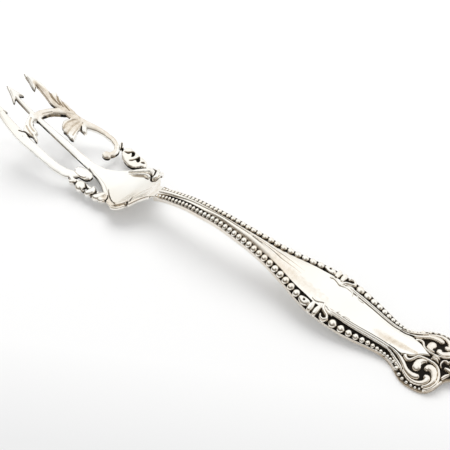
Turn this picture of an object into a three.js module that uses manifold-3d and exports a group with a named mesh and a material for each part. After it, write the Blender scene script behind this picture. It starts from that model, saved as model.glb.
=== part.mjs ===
// Pickle fork in solid silver, in millimetres: X runs from the tine tips to the terminal, Z is up
// and the table is at Z 0. It is first drawn flat and then bent to its side profile, as the real
// blank is struck flat and bent in a die.

import * as THREE from "three";
import { mergeVertices } from "three/addons/utils/BufferGeometryUtils.js";
import Module from "manifold-3d";

// Whole fork
const forkLength = 146.2;
const headLength = 53.8;
const terminalReach = 8;
const waistSetback = 11;
const tipRise = 17.4;
const headHalfWidth = 11;
const handleHalfWidth = 8;
const terminalHalfWidth = 10.3;

// Metal of the tines and of the pierced ornament
const tineDepth = 0.9;
const tineCrown = 0.45;
const centreTineHalfWidth = 0.95;
const leftTineHalfWidth = 1.5;
const rightTineHalfWidth = 1.2;
const barbHalfWidth = 0.55;
const barbLength = 3.7;
const barbSpread = 1.45;
const bridgeHalfWidth = 0.95;
const leafHalfWidth = 0.8;
const leafCrown = 0.4;
const curlLength = 2.1;
const curlRadius = 1.5;
const hookRadius = 1.15;
const headDish = 0.4;

// Bowl between the tines and the neck
const bowlThickness = 1.8;
const bowlHollow = 0.9;
const rimHalfWidth = 0.6;
const rimCrown = 0.45;
const rimInset = 0.5;
const shoulderKnobRadius = 0.9;

// Shells at the roots of the outer tines
const shellLobeWidth = 1.2;
const shellLobeLength = 2;
const shellLobeHeight = 0.9;
const nearLobeStandoff = 0.9;
const farLobeStandoff = 1.9;
const shellDepth = 1;
const shellBarHalfWidth = 0.7;

// Handle
const neckDepth = 1.9;
const handleDepth = 2;
const handleEdge = 1.05;
const beadRadius = 1.02;
const beadPlay = 0.06;
const groovePlay = 0.05;
const borderLip = 0.4;
const panelStep = 0.14;
const shankCrest = 0.3;
const mouldingWidth = 0.9;
const mouldingHeight = 0.3;
const crownDrop = 1.7;
const clipBarHalfWidth = 0.55;
const clipCrown = 0.35;

// Terminal
const whorlRadius = 4.75;
const whorlCentreSide = 4.85;
const whorlCentreSetback = 0.4;
const lobeRim = 0.4;
const lobeSink = 0.7;
const lobeEdge = 1.3;
const terminalDepth = 2.1;
const scrollHalfWidth = 0.6;
const scrollCrown = 0.6;
const swirlHalfWidth = 0.78;
const swirlCrown = 0.5;
const lobeBeadRadius = 0.62;
const eyeRadius = 0.6;
const rosetteRadius = 0.55;
const endShellRoot = 3.4;
const endShellHalfWidth = 0.85;

// Fineness of the facets, as counts
const beadSides = 6;
const beadRings = 3;
const tineFacets = 4;
const ornamentFacets = 3;
const bowlColumns = 8;
const bowlBackColumns = 4;
const bowlRows = 20;
const lobeSides = 16;
const swirlsPerWhorl = 3;
const endShellRays = 5;

// Depth of the bead groove by the bead's radius, how far its outer lip stands up, and how much of
// the handle's half width the flat of its back takes
const grooveShare = 0.9;
const lipShare = 0.6;
const bellyShare = 0.5;

// Room that every cutting block has to spare, and how short an edge a join may close up
const overrun = 40;
const joinTolerance = 0.02;

// Where along the fork the heel of the bowl stands on the table, and over which part of the head's
// length its dish fades out towards the neck
const heelShare = 0.26;
const dishFadeShare = 0.25;
// How far below the handle's face a border bead is centred, by the bead's radius
const beadSinkShare = 0.95;

const tipX = terminalReach - forkLength;
const neckX = tipX + headLength;
const waistX = -waistSetback;
const shankLength = -neckX;
const heelX = tipX + heelShare * forkLength;

// Heights of the top face along the fork: share of its length from the tips, share of the tip's rise
const sideShares = [
  [0, 1], [0.03, 0.81], [0.062, 0.667], [0.103, 0.526], [0.151, 0.362], [0.2, 0.21],
  [0.248, 0.144], [0.289, 0.193], [0.33, 0.317], [0.369, 0.464], [0.417, 0.594],
  [0.465, 0.654], [0.547, 0.644], [0.643, 0.506], [0.712, 0.364], [0.754, 0.299],
  [0.822, 0.214], [0.904, 0.169], [0.945, 0.167], [1, 0.167],
];
// Handle by share of the way from the neck to the rosette: half width, bead size, drop of the
// bead row below the middle, depth of the metal and height of the crest on the shank
const handleWidthShares = [
  [0, 0.3], [0.05, 0.285], [0.17, 0.315], [0.29, 0.385], [0.408, 0.51], [0.467, 0.62],
  [0.526, 0.77], [0.585, 0.925], [0.645, 1], [0.704, 0.988], [0.763, 0.912], [0.822, 0.8],
  [0.87, 0.75], [0.9, 0.78],
];
const beadSizeShares = [
  [0, 0.49], [0.17, 0.6], [0.29, 0.76], [0.408, 0.9], [0.526, 1], [0.645, 0.98], [0.704, 0.92],
  [0.763, 0.82], [0.822, 0.62], [0.87, 0.47], [0.95, 0.44],
];
const rowDropShares = [
  [0, 0], [0.05, 0.05], [0.29, 0.38], [0.467, 0.5], [0.585, 0.32], [0.763, 0.4], [0.87, 0.6],
  [0.93, 0.8], [1, 1], [1.1, 1],
];
const depthShares = [[0, 1], [0.2, 0.95], [0.5, 0.3], [0.6, 0], [1, 0]];
const crestShares = [[0, 0.6], [0.15, 1], [0.4, 0.7], [0.55, 0]];
// Share of the terminal's half width that its bead border keeps, by the same way
const terminalRowShares = [[0.87, 0.5], [0.893, 0.52], [0.93, 0.7], [0.96, 0.86], [0.99, 0.94], [1.1, 0.94]];
// Where the clip starts and ends on the bead row, and where the moulding begins
const clipStartShare = 0.572;
const clipEndShare = 0.684;
const mouldingStartShare = 0.665;
// Where the slim shank passes into the panel
const panelStartShare = 0.36;

const wasm = await Module();
wasm.setup();

// Value of a table of [place, value] rows at a place, on a smooth line through the rows
function along(rows, place) {
  const last = rows.length - 1;
  if (place <= rows[0][0]) return rows[0][1];
  if (place >= rows[last][0]) return rows[last][1];
  const slopeAt = (i) => {
    const before = rows[Math.max(i - 1, 0)];
    const after = rows[Math.min(i + 1, last)];
    return (after[1] - before[1]) / (after[0] - before[0]);
  };
  const i = rows.findIndex((row) => row[0] > place) - 1;
  const run = rows[i + 1][0] - rows[i][0];
  const t = (place - rows[i][0]) / run;
  const start = rows[i][1] + t * run * slopeAt(i);
  const end = rows[i + 1][1] - (1 - t) * run * slopeAt(i + 1);
  const blend = t * t * (3 - 2 * t);
  return start * (1 - blend) + end * blend;
}

const sideHeight = (x) => tipRise * along(sideShares, (x - tipX) / forkLength);
const handleShare = (x) => (x - neckX) / shankLength;
const edgeOf = (x) => handleHalfWidth * along(handleWidthShares, handleShare(x));
const beadOf = (x) => beadRadius * along(beadSizeShares, handleShare(x));
const rowOf = (x) => edgeOf(x) - beadOf(x) - borderLip;
const panelOf = (x) => rowOf(x) - beadOf(x) - panelStep;

// Half width over which the cross section falls away by its full drop
function crownReach(x) {
  if (x <= waistX) return rowOf(x);
  return terminalHalfWidth * along(terminalRowShares, handleShare(x));
}

// Height of the bent sheet over the table at a point of the flat plan
function sheetHeight(x, y) {
  if (x < neckX) {
    const share = Math.min(1, (neckX - x) / (headLength * dishFadeShare));
    return sideHeight(x) + headDish * share * (y / headHalfWidth) ** 2;
  }
  const drop = crownDrop * along(rowDropShares, handleShare(x));
  return sideHeight(x) - drop * (y / crownReach(x)) ** 2;
}

function solidOf(geometry) {
  const bare = geometry.index ? geometry.clone() : geometry;
  bare.deleteAttribute("normal");
  bare.deleteAttribute("uv");
  const merged = mergeVertices(bare, 1e-5);
  return new wasm.Manifold(new wasm.Mesh({
    numProp: 3,
    vertProperties: new Float32Array(merged.attributes.position.array),
    triVerts: new Uint32Array(merged.index.array),
    tolerance: joinTolerance,
  }));
}

// Bends a flat piece to the side profile and to the cross section
function bent(geometry) {
  const position = geometry.attributes.position;
  for (let i = 0; i < position.count; i += 1) {
    const rise = sheetHeight(position.getX(i), position.getY(i));
    position.setZ(i, position.getZ(i) + rise);
  }
  return solidOf(geometry);
}

// Closed skin over rings of points that all have the same count, with flat ends
function skin(rings, section) {
  const count = section.length;
  const index = [];
  rings.slice(1).forEach((ring, i) => {
    for (let k = 0; k < count; k += 1) {
      const a = i * count + k;
      const b = i * count + (k + 1) % count;
      index.push(a, b, b + count, a, b + count, a + count);
    }
  });
  const last = (rings.length - 1) * count;
  THREE.ShapeUtils.triangulateShape(section, []).forEach(([a, b, c]) => {
    index.push(a, c, b, last + a, last + b, last + c);
  });
  const geometry = new THREE.BufferGeometry();
  const points = rings.flat().flatMap((point) => point.toArray());
  geometry.setAttribute("position", new THREE.Float32BufferAttribute(points, 3));
  geometry.setIndex(index);
  return geometry;
}

const joined = (solids) => solids.slice(1).reduce((whole, solid) => whole.add(solid), solids[0]);

// Rounded ridge of metal along a route in plan, with a half width at each point of the route
function ridge(route, halfWidths, crown, depth, steps, level = 0, facets = ornamentFacets) {
  const curve = new THREE.SplineCurve(route);
  const widths = halfWidths.map((width, i) => [i / (halfWidths.length - 1), width]);
  const across = [new THREE.Vector2(-1, -depth), new THREE.Vector2(1, -depth)];
  for (let k = 0; k <= facets; k += 1) {
    const angle = (k / facets) * Math.PI;
    across.push(new THREE.Vector2(Math.cos(angle), crown * Math.sin(angle)));
  }
  const rings = [];
  for (let i = 0; i <= steps; i += 1) {
    const point = curve.getPoint(i / steps);
    const heading = curve.getTangent(i / steps);
    const half = along(widths, i / steps);
    rings.push(across.map((at) => new THREE.Vector3(
      point.x - heading.y * half * at.x,
      point.y + heading.x * half * at.x,
      level + at.y,
    )));
  }
  return bent(skin(rings, across));
}

// Ball or flattened ball set into the metal, whose widest ring of points has the radii given
function knob(x, y, radii, level = 0) {
  const [long, wide, high] = radii;
  const ball = new THREE.SphereGeometry(1, beadSides, beadRings);
  const widest = Math.sin((Math.PI * Math.floor(beadRings / 2)) / beadRings);
  ball.rotateX(Math.PI / 2);
  ball.scale(long / widest, wide / widest, high);
  ball.translate(x, y, level);
  return bent(ball);
}

// Upright block between two planes across the fork, for square joints and cuts
function block(xLow, xHigh, yLow, yHigh, zLow = -overrun, zHigh = overrun) {
  const box = new THREE.BoxGeometry(xHigh - xLow, yHigh - yLow, zHigh - zLow);
  box.translate((xLow + xHigh) / 2, (yLow + yHigh) / 2, (zLow + zHigh) / 2);
  return solidOf(box);
}
const beforeX = (x) => block(tipX - overrun, x, -overrun, overrun);
const afterX = (x) => block(x, terminalReach + overrun, -overrun, overrun);
const underTable = () => block(tipX - overrun, terminalReach + overrun, -overrun, overrun, -overrun, 0);

// Point of the head: share of its length from the neck to the tips, share of its half width
const headPoint = ([lengthShare, sideShare]) => new THREE.Vector2(
  neckX - lengthShare * headLength,
  sideShare * headHalfWidth,
);
const headRoute = (shares) => shares.map(headPoint);
const scaled = (shares, size) => shares.map((share) => share * size);

const bowlTineX = headPoint([0.475, 0]).x;
const bowlOutlineShares = [
  // share of the head's length, near edge and far edge as shares of its half width
  [-0.01, -0.21, 0.21], [0.02, -0.22, 0.22], [0.05, -0.36, 0.37], [0.085, -0.6, 0.6],
  [0.12, -0.82, 0.75], [0.155, -0.86, 0.81], [0.19, -0.8, 0.8], [0.22, -0.7, 0.7],
  [0.255, -0.575, 0.62], [0.29, -0.44, 0.49], [0.345, -0.275, 0.3], [0.42, -0.15, 0.17],
  [0.475, -0.12, 0.12],
];
const hollowShares = [[0.03, 0], [0.12, 0.7], [0.24, 1], [0.34, 0.75], [0.44, 0.1], [0.475, 0]];

// A tine or other stout band, with a rounder back than the small ornament
function stout(route, halfWidths, steps) {
  return ridge(route, halfWidths, tineCrown, tineDepth, steps, 0, tineFacets);
}

// Leaf or tendril of the pierced work
function leaf(shares, widthShares, steps = 3) {
  return ridge(headRoute(shares), scaled(widthShares, leafHalfWidth), leafCrown, tineDepth, steps, 0, 2);
}

// Gives the block's side of two pieces that run together to the second, the rest to the first
function shareOut(first, second, cutter) {
  const left = first.add(second.subtract(cutter));
  return [left, second.intersect(cutter)];
}

// Concave plate that widens from the centre tine and closes in again to the neck
function bowlPlate() {
  const nearRows = bowlOutlineShares.map(([place, near]) => [place, near]);
  const farRows = bowlOutlineShares.map(([place, , far]) => [place, far]);
  const startShare = bowlOutlineShares[0][0];
  const endShare = bowlOutlineShares[bowlOutlineShares.length - 1][0];
  const section = [];
  for (let k = 0; k <= bowlColumns; k += 1) {
    section.push(new THREE.Vector2(THREE.MathUtils.lerp(1, -1, k / bowlColumns), 0));
  }
  for (let k = 0; k <= bowlBackColumns; k += 1) {
    section.push(new THREE.Vector2(THREE.MathUtils.lerp(-1, 1, k / bowlBackColumns), -1));
  }
  const rings = [];
  for (let i = 0; i <= bowlRows; i += 1) {
    const place = THREE.MathUtils.lerp(endShare, startShare, i / bowlRows);
    const low = headHalfWidth * along(nearRows, place);
    const high = headHalfWidth * along(farRows, place);
    const hollow = bowlHollow * along(hollowShares, place);
    const neckBlend = THREE.MathUtils.smoothstep(1 - place / hollowShares[1][0], 0, 1);
    const depth = THREE.MathUtils.lerp(bowlThickness, neckDepth, neckBlend);
    rings.push(section.map((at) => {
      const sink = hollow * (1 - at.x * at.x);
      const under = at.y * (depth * (1 - at.x * at.x) + tineDepth * at.x * at.x);
      return new THREE.Vector3(
        headPoint([place, 0]).x,
        (low + high) / 2 + (at.x * (high - low)) / 2,
        under - sink,
      );
    }));
  }
  return bent(skin(rings, section));
}

function bowl() {
  const leftRim = headRoute([
    [0.47, -0.06], [0.42, -0.1], [0.345, -0.225], [0.29, -0.39], [0.255, -0.52], [0.22, -0.65],
    [0.18, -0.77], [0.135, -0.81], [0.105, -0.7],
  ]);
  const rightRim = headRoute([
    [0.47, 0.06], [0.42, 0.12], [0.345, 0.25], [0.29, 0.44], [0.25, 0.57], [0.215, 0.66],
    [0.175, 0.74], [0.135, 0.68], [0.115, 0.5],
  ]);
  const lap = headRoute([[0.125, -0.2], [0.13, -0.39], [0.11, -0.6]]);
  const shoulderCurl = headRoute([[0.105, -0.68], [0.085, -0.56], [0.055, -0.36], [0.02, -0.2]]);
  const farCurl = headRoute([[0.13, 0.74], [0.1, 0.66], [0.065, 0.42], [0.02, 0.2]]);
  const rimShares = [0.6, 1, 1, 1, 1, 1, 1, 1, 0.6];
  const curlShares = [0.8, 1.1, 0.9, 0.6];
  const knobAt = (shares) => {
    const at = headPoint(shares);
    return knob(at.x, at.y, Array(3).fill(shoulderKnobRadius));
  };
  return joined([
    bowlPlate(),
    ridge(leftRim, scaled(rimShares, rimHalfWidth), rimCrown, rimInset, 12),
    ridge(rightRim, scaled(rimShares, rimHalfWidth), rimCrown, rimInset, 12),
    ridge(lap, scaled([0.4, 0.7, 0.6], rimHalfWidth), rimCrown / 2, rimInset, 4),
    ridge(shoulderCurl, scaled(curlShares, rimHalfWidth), rimCrown, rimInset, 6),
    ridge(farCurl, scaled(curlShares, rimHalfWidth), rimCrown, rimInset, 6),
    knobAt([0.13, 0.73]),
    knobAt([0.09, -0.66]),
  ]);
}

// Barb that spreads from a tine's tip and stands clear of its stem, on the side given
function barb(lengthShare, sideShare, side) {
  const root = headPoint([lengthShare, sideShare]);
  const route = [0, 0.5, 1].map((share) => new THREE.Vector2(
    root.x + share * barbLength,
    root.y + side * share * barbSpread,
  ));
  return ridge(route, scaled([0.4, 0.9, 0.6], barbHalfWidth), leafCrown, tineDepth, 4);
}

function centreTine() {
  const stem = headRoute([[1, 0], [0.96, 0], [0.925, 0], [0.85, 0], [0.75, 0], [0.6, 0], [0.46, 0]]);
  const stemShares = [0.12, 0.75, 0.7, 0.72, 0.9, 1.15, 1.4];
  return joined([
    stout(stem, scaled(stemShares, centreTineHalfWidth), 14),
    barb(0.985, 0, 1),
    barb(0.985, 0, -1),
  ]);
}

function leftTine() {
  const band = headRoute([
    [0.985, -0.6], [0.95, -0.625], [0.9, -0.65], [0.83, -0.69], [0.75, -0.73], [0.67, -0.725],
    [0.59, -0.715], [0.525, -0.67], [0.485, -0.58], [0.455, -0.44],
  ]);
  const bandShares = [0.12, 0.6, 0.85, 0.95, 0.98, 0.95, 0.92, 0.92, 0.9, 0.6];
  const centre = headPoint([0.446, -0.32]);
  return joined([
    stout(band, scaled(bandShares, leftTineHalfWidth), 18),
    barb(0.975, -0.6, 1),
    knob(centre.x, centre.y, [curlLength, curlRadius, tineDepth]),
    leaf([[0.475, -0.22], [0.484, -0.3], [0.475, -0.42]], [0.4, 0.6, 0.4]),
  ]);
}

function rightTine() {
  const band = headRoute([
    [0.99, 0.605], [0.955, 0.655], [0.905, 0.725], [0.85, 0.71], [0.79, 0.7], [0.735, 0.735],
    [0.68, 0.75], [0.63, 0.8], [0.585, 0.9], [0.54, 0.975], [0.5, 1], [0.455, 0.975],
    [0.425, 0.87], [0.415, 0.71], [0.43, 0.56],
  ]);
  const bandShares = [0.12, 0.6, 0.85, 0.85, 0.9, 0.95, 1, 1, 0.8, 0.65, 0.6, 0.6, 0.6, 0.65, 0.6];
  const hookEnd = headPoint([0.438, 0.52]);
  return joined([
    stout(band, scaled(bandShares, rightTineHalfWidth), 26),
    barb(0.98, 0.62, -1),
    knob(hookEnd.x, hookEnd.y, [hookRadius, hookRadius, tineDepth]),
    leaf([[0.79, 0.74], [0.82, 0.84], [0.835, 0.93]], [1, 0.8, 0.2]),
    leaf([[0.77, 0.74], [0.793, 0.83], [0.81, 0.9]], [1, 0.8, 0.2]),
    leaf([[0.745, 0.76], [0.757, 0.83], [0.768, 0.9]], [1, 0.8, 0.2]),
    leaf([[0.69, 0.72], [0.697, 0.55], [0.69, 0.4], [0.686, 0.29]], [1.1, 1, 0.8, 0.25]),
    leaf([[0.67, 0.74], [0.67, 0.55], [0.662, 0.35], [0.658, 0.19]], [1.1, 1, 0.8, 0.25]),
    leaf([[0.65, 0.78], [0.638, 0.55], [0.624, 0.35], [0.606, 0.2]], [1.1, 1, 0.8, 0.25]),
    leaf([[0.645, 0.8], [0.615, 0.7], [0.59, 0.59]], [1, 0.6, 0.25]),
    leaf([[0.44, 0.95], [0.42, 1.03], [0.4, 1.11]], [0.6, 0.6, 0.4]),
  ]);
}

// Curved bridge from the centre tine to the right tine
function rightBridge() {
  const arch = headRoute([[0.803, 0], [0.805, 0.1], [0.796, 0.25], [0.784, 0.38], [0.763, 0.52], [0.74, 0.68]]);
  return ridge(arch, scaled([1.2, 1.15, 1.05, 0.95, 1, 1.3], bridgeHalfWidth), leafCrown, tineDepth, 9);
}

// Leafy bridge from the centre tine to the left tine
function leftBridge() {
  const stem = headRoute([[0.82, 0], [0.815, -0.12], [0.803, -0.27], [0.787, -0.45], [0.774, -0.62], [0.768, -0.72]]);
  return joined([
    ridge(stem, scaled([1, 0.95, 0.9, 0.85, 0.8, 0.8], bridgeHalfWidth), leafCrown, tineDepth, 9),
    leaf([[0.8, -0.2], [0.768, -0.26], [0.736, -0.36]], [1.2, 1.1, 0.3]),
    leaf([[0.785, -0.38], [0.748, -0.43], [0.709, -0.53]], [1.1, 0.9, 0.3]),
    leaf([[0.815, -0.1], [0.8, -0.15], [0.787, -0.22]], [0.7, 0.6, 0.3]),
  ]);
}

// Row of scallops that stand off a curved bar, joining an outer tine to the bowl
function rootShell(bar, lobes, standoff) {
  const lobe = ([lengthShare, barSideShare, sizeShare]) => {
    const at = headPoint([lengthShare, barSideShare]);
    const size = [shellLobeWidth, shellLobeLength, shellLobeHeight];
    return knob(at.x, at.y + standoff * sizeShare, scaled(size, sizeShare));
  };
  return joined([
    ridge(headRoute(bar), bar.map(() => shellBarHalfWidth), leafCrown, shellDepth, 10),
    ...lobes.map(lobe),
  ]);
}

function leftRootShell() {
  const bar = [[0.49, -0.62], [0.46, -0.68], [0.42, -0.7], [0.36, -0.735], [0.3, -0.76], [0.23, -0.7]];
  const lobes = [[0.455, -0.69, 0.6], [0.41, -0.71, 0.85], [0.36, -0.73, 0.9], [0.305, -0.74, 0.85]];
  return rootShell(bar, lobes, nearLobeStandoff);
}

function rightRootShell() {
  const bar = [[0.43, 0.8], [0.4, 0.73], [0.35, 0.7], [0.29, 0.72], [0.245, 0.74], [0.2, 0.74]];
  const lobes = [[0.385, 0.71, 0.85], [0.345, 0.735, 1], [0.3, 0.735, 1], [0.258, 0.7, 0.85]];
  return rootShell(bar, lobes, farLobeStandoff);
}

// Cross section of the handle at a place, from its right edge over the top to the left and back
function handleSection(x) {
  const edge = edgeOf(x);
  const row = rowOf(x);
  const panel = panelOf(x);
  const bead = beadOf(x);
  const place = handleShare(x);
  const crest = shankCrest * along(crestShares, place);
  const depth = handleDepth + (neckDepth - handleDepth) * along(depthShares, place);
  const moulding = place > mouldingStartShare ? mouldingHeight : 0;
  const inner = Math.max(panel - mouldingWidth, panel / 2);
  const floor = bead * grooveShare;
  const half = [
    [edge, -handleEdge], [edge, -floor], [edge - borderLip / 2, -floor * lipShare],
    [row + bead + groovePlay, -floor], [row - bead - groovePlay, -floor], [panel, 0],
    [(panel + inner) / 2, moulding], [inner, 0],
  ];
  const mirrored = half.map(([y, z]) => [-y, z]).reverse();
  const under = [[-edge * bellyShare, -depth], [edge * bellyShare, -depth]];
  return [...half, [0, crest], ...mirrored, ...under];
}

// Long strip between two planes across the handle
function handleStrip(start, end, steps, sectionAt) {
  const rings = [];
  for (let i = 0; i <= steps; i += 1) {
    const x = start + ((end - start) * i) / steps;
    rings.push(sectionAt(x).map(([y, z]) => new THREE.Vector3(x, y, z)));
  }
  const section = sectionAt(start).map(([y, z]) => new THREE.Vector2(y, z));
  return bent(skin(rings, section));
}

// Beads laid one against the next along the border, growing and shrinking with it
function beadPlaces(start, end) {
  const places = [];
  let x = start + beadOf(start);
  while (x + beadOf(x) <= end) {
    places.push(x);
    x += 2 * beadOf(x) + beadPlay;
  }
  return places;
}

function beadRow(start, end, side) {
  return beadPlaces(start, end).map((x) => {
    const bead = beadOf(x);
    return knob(x, side * rowOf(x), Array(3).fill(bead), -bead * beadSinkShare);
  });
}

// Ribs of the clip: share of the clip's length, shares of the handle's half width where each starts
// and ends, and how far it leans along the clip
const clipRibShares = [
  [0.1, 0.76, 0.96, -0.02], [0.3, 0.68, 0.98, 0], [0.48, 0.64, 1, 0], [0.66, 0.6, 1, 0.02],
  [0.88, 0.66, 0.98, 0.05],
];

// Clip of ribs that binds the border at the widest place
function clip(side) {
  const start = neckX + clipStartShare * shankLength;
  const span = (clipEndShare - clipStartShare) * shankLength;
  return clipRibShares.map(([share, fromShare, toShare, leanShare]) => {
    const x = start + share * span;
    const outer = edgeOf(x) - borderLip / 2;
    const route = [fromShare, (fromShare + toShare) / 2, toShare].map((reachShare, i) => new THREE.Vector2(
      x + leanShare * span * (i - 1),
      side * outer * reachShare,
    ));
    return ridge(route, scaled([0.7, 1.1, 0.9], clipBarHalfWidth), clipCrown, beadRadius, 2, 0, 2);
  });
}

function handle() {
  const clipStart = neckX + clipStartShare * shankLength;
  const clipEnd = neckX + clipEndShare * shankLength;
  const ornament = [-1, 1].flatMap((side) => [
    ...beadRow(neckX, clipStart, side),
    ...beadRow(clipEnd, waistX, side),
    ...clip(side),
  ]);
  const whole = joined([handleStrip(neckX, waistX, 24, handleSection), ...ornament]);
  return whole.subtract(beforeX(neckX)).subtract(afterX(waistX));
}

const terminalEdgeShares = [
  [0.87, 0.582], [0.893, 0.6], [0.917, 0.7], [0.94, 0.85], [0.96, 0.9], [0.98, 0.9], [1, 0.75],
  [1.03, 0.42], [1.05, 0.26],
];
const tongueShares = [[0.87, 0.42], [0.893, 0.41], [0.917, 0.36], [0.94, 0.27], [0.965, 0.17], [0.985, 0.06]];
const groundFlatShare = 0.55;
const lobeBackShare = 0.6;

// Flat ground under the whorls, and the panel's pointed end on it
function terminalGround(x) {
  const edge = terminalHalfWidth * along(terminalEdgeShares, handleShare(x));
  const top = -lobeSink;
  const half = [[edge, -handleEdge], [edge, top], [edge * groundFlatShare, top]];
  const mirrored = half.map(([y, z]) => [-y, z]).reverse();
  const back = edge * groundFlatShare;
  const under = [[-back, -terminalDepth], [0, -terminalDepth], [back, -terminalDepth]];
  return [...half, [0, top], ...mirrored, ...under];
}

function tongue(x) {
  const half = terminalHalfWidth * along(tongueShares, handleShare(x));
  return [[half, -lobeSink - mouldingHeight], [half, 0], [0, 0], [-half, 0], [-half, -lobeSink - mouldingHeight]];
}

// Round plate of one whorl
function lobePlate(side) {
  const outer = whorlRadius + lobeRim;
  const profile = [
    [0, -terminalDepth], [outer * lobeBackShare, -terminalDepth], [outer, -lobeEdge], [outer, -lobeSink - lobeRim / 3],
    [whorlRadius, -lobeSink], [whorlRadius / 2, -lobeSink], [0, -lobeSink],
  ].map(([r, z]) => new THREE.Vector2(r, z));
  const plate = new THREE.LatheGeometry(profile, lobeSides);
  plate.rotateX(Math.PI / 2);
  plate.translate(-whorlCentreSetback, side * whorlCentreSide, 0);
  return bent(plate);
}

// Point at a distance and angle from a whorl's centre; angles turn the other way on the other side
const whorlPoint = (side, radius, angle) => new THREE.Vector2(
  -whorlCentreSetback + radius * Math.cos(THREE.MathUtils.degToRad(angle)),
  side * (whorlCentreSide + radius * Math.sin(THREE.MathUtils.degToRad(angle))),
);

// Angles of the whorls in degrees: where the border scroll joins and ends, where the first swirl
// starts and how far each turns, where the beads start, and how wide the end shell fans
const scrollStartAngle = 165;
const scrollEndAngle = -110;
const scrollAngleStep = 25;
const swirlStartAngle = 150;
const swirlTurnAngle = 190;
const lobeBeadStartAngle = 152;
const endShellFanAngle = 138;
// How the scroll, the swirls, the beads and the shell's rays taper, and where they lie
const scrollTaperShare = 0.45;
const scrollInnerShares = [0.82, 1.08];
const swirlReachShares = [0.66, 0.24];
const swirlWidthShares = [0.55, 1, 1, 0.6];
const swirlSteps = 6;
const lobeBeadCount = 8;
const lobeBeadTaperShare = 0.07;
const rayReachShares = [0.1, 0.5, 0.86];
const rayWidthShares = [0.45, 0.85, 1];
const rayTaperShare = 0.12;

// One whorl: the border scroll that runs round it, and the lobes that swirl into its eye
function whorl(side) {
  const [placeShare, widthShare] = scrollInnerShares;
  const scrollRoute = [
    new THREE.Vector2(waistX, side * panelOf(waistX)),
    new THREE.Vector2(waistX * placeShare, side * panelOf(waistX) * widthShare),
  ];
  for (let angle = scrollStartAngle; angle >= scrollEndAngle; angle -= scrollAngleStep) {
    scrollRoute.push(whorlPoint(side, whorlRadius - scrollHalfWidth, angle));
  }
  const scrollWidths = scrollRoute.map((point, i) => (
    scrollHalfWidth * (1 - scrollTaperShare * (i / (scrollRoute.length - 1)))
  ));
  const swirls = [];
  const [outerShare, innerShare] = swirlReachShares;
  for (let k = 0; k < swirlsPerWhorl; k += 1) {
    const from = swirlStartAngle - (k * 360) / swirlsPerWhorl;
    const route = [];
    for (let i = 0; i <= swirlSteps; i += 1) {
      const share = i / swirlSteps;
      const radius = whorlRadius * (outerShare + (innerShare - outerShare) * share);
      route.push(whorlPoint(side, radius, from - swirlTurnAngle * share));
    }
    const widths = scaled(swirlWidthShares, swirlHalfWidth);
    swirls.push(ridge(route, widths, swirlCrown, lobeSink, swirlSteps, -lobeSink / 2, 2));
  }
  return [
    lobePlate(side),
    ridge(scrollRoute, scrollWidths, scrollCrown, lobeSink, 18, -lobeSink / 3, 2),
    ...swirls,
  ];
}

// Beads that shrink round the lobe's outer edge
function lobeBeads(side) {
  const beads = [];
  let angle = lobeBeadStartAngle;
  for (let k = 0; k < lobeBeadCount; k += 1) {
    const size = lobeBeadRadius * (1 - k * lobeBeadTaperShare);
    const at = whorlPoint(side, whorlRadius + lobeRim / 3, angle);
    beads.push(knob(at.x, at.y, [size, size, size], -lobeSink));
    angle -= THREE.MathUtils.radToDeg((2 * size) / whorlRadius);
  }
  return beads;
}

// Small shell that closes the handle's end between the whorls
function endShell() {
  const rays = [];
  const longest = terminalReach - endShellRoot;
  for (let k = 0; k < endShellRays; k += 1) {
    const angle = THREE.MathUtils.degToRad((k / (endShellRays - 1) - 1 / 2) * endShellFanAngle);
    const reach = longest * (1 - rayTaperShare * Math.abs(angle));
    const route = rayReachShares.map((share) => new THREE.Vector2(
      endShellRoot + reach * share * Math.cos(angle),
      reach * share * Math.sin(angle),
    ));
    const widths = scaled(rayWidthShares, endShellHalfWidth);
    rays.push(ridge(route, widths, scrollCrown, terminalDepth - lobeSink, 2, -lobeSink / 2));
  }
  return rays;
}

// Ends of the ground and of the panel's tongue on the way from the neck to the rosette, and the
// part of the way from the rosette back to the waist that the small beads reach
const groundEndShare = 1.05;
const tongueEndShare = 0.985;
const waistBeadShare = 0.55;
const eyePlaceShares = [0.56, 0.64];

function terminal() {
  const [eyeShare, eyeSideShare] = eyePlaceShares;
  const eyes = [-1, 1].map((side) => knob(
    waistX * eyeShare,
    side * whorlCentreSide * eyeSideShare,
    [eyeRadius, eyeRadius, lobeSink],
    -lobeSink / 2,
  ));
  const groundEnd = neckX + groundEndShare * shankLength;
  const tongueEnd = neckX + tongueEndShare * shankLength;
  const edges = [-1, 1].flatMap((side) => [
    ...whorl(side),
    ...lobeBeads(side),
    ...beadRow(waistX, waistX * waistBeadShare, side),
  ]);
  const whole = joined([
    handleStrip(waistX, groundEnd, 8, terminalGround),
    handleStrip(waistX, tongueEnd, 5, tongue),
    ...edges,
    ...endShell(),
    ...eyes,
    knob(0, 0, [rosetteRadius, rosetteRadius, lobeSink], -lobeSink / 2),
  ]);
  return whole.subtract(beforeX(waistX)).subtract(underTable());
}

// Bright where the silver is plain, a little duller where the relief holds tarnish
const plainPieces = ["bowl", "centre_tine", "left_tine", "right_tine", "panel"];
function silver(name) {
  const bright = plainPieces.includes(name);
  return new THREE.MeshStandardMaterial({
    color: bright ? 0xe6e3dd : 0xd8d4cb,
    roughness: bright ? 0.17 : 0.26,
    metalness: 1,
  });
}

function node(name, solid, material) {
  const mesh = solid.getMesh();
  const geometry = new THREE.BufferGeometry();
  geometry.setAttribute("position", new THREE.Float32BufferAttribute(mesh.vertProperties, 3));
  geometry.setIndex(Array.from(mesh.triVerts));
  geometry.computeVertexNormals();
  const piece = new THREE.Mesh(geometry, material);
  piece.name = name;
  return piece;
}

// How far beside the centre tine's middle its bridges begin, by the tine's half width
const besideCentreShare = 1.15;

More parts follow.
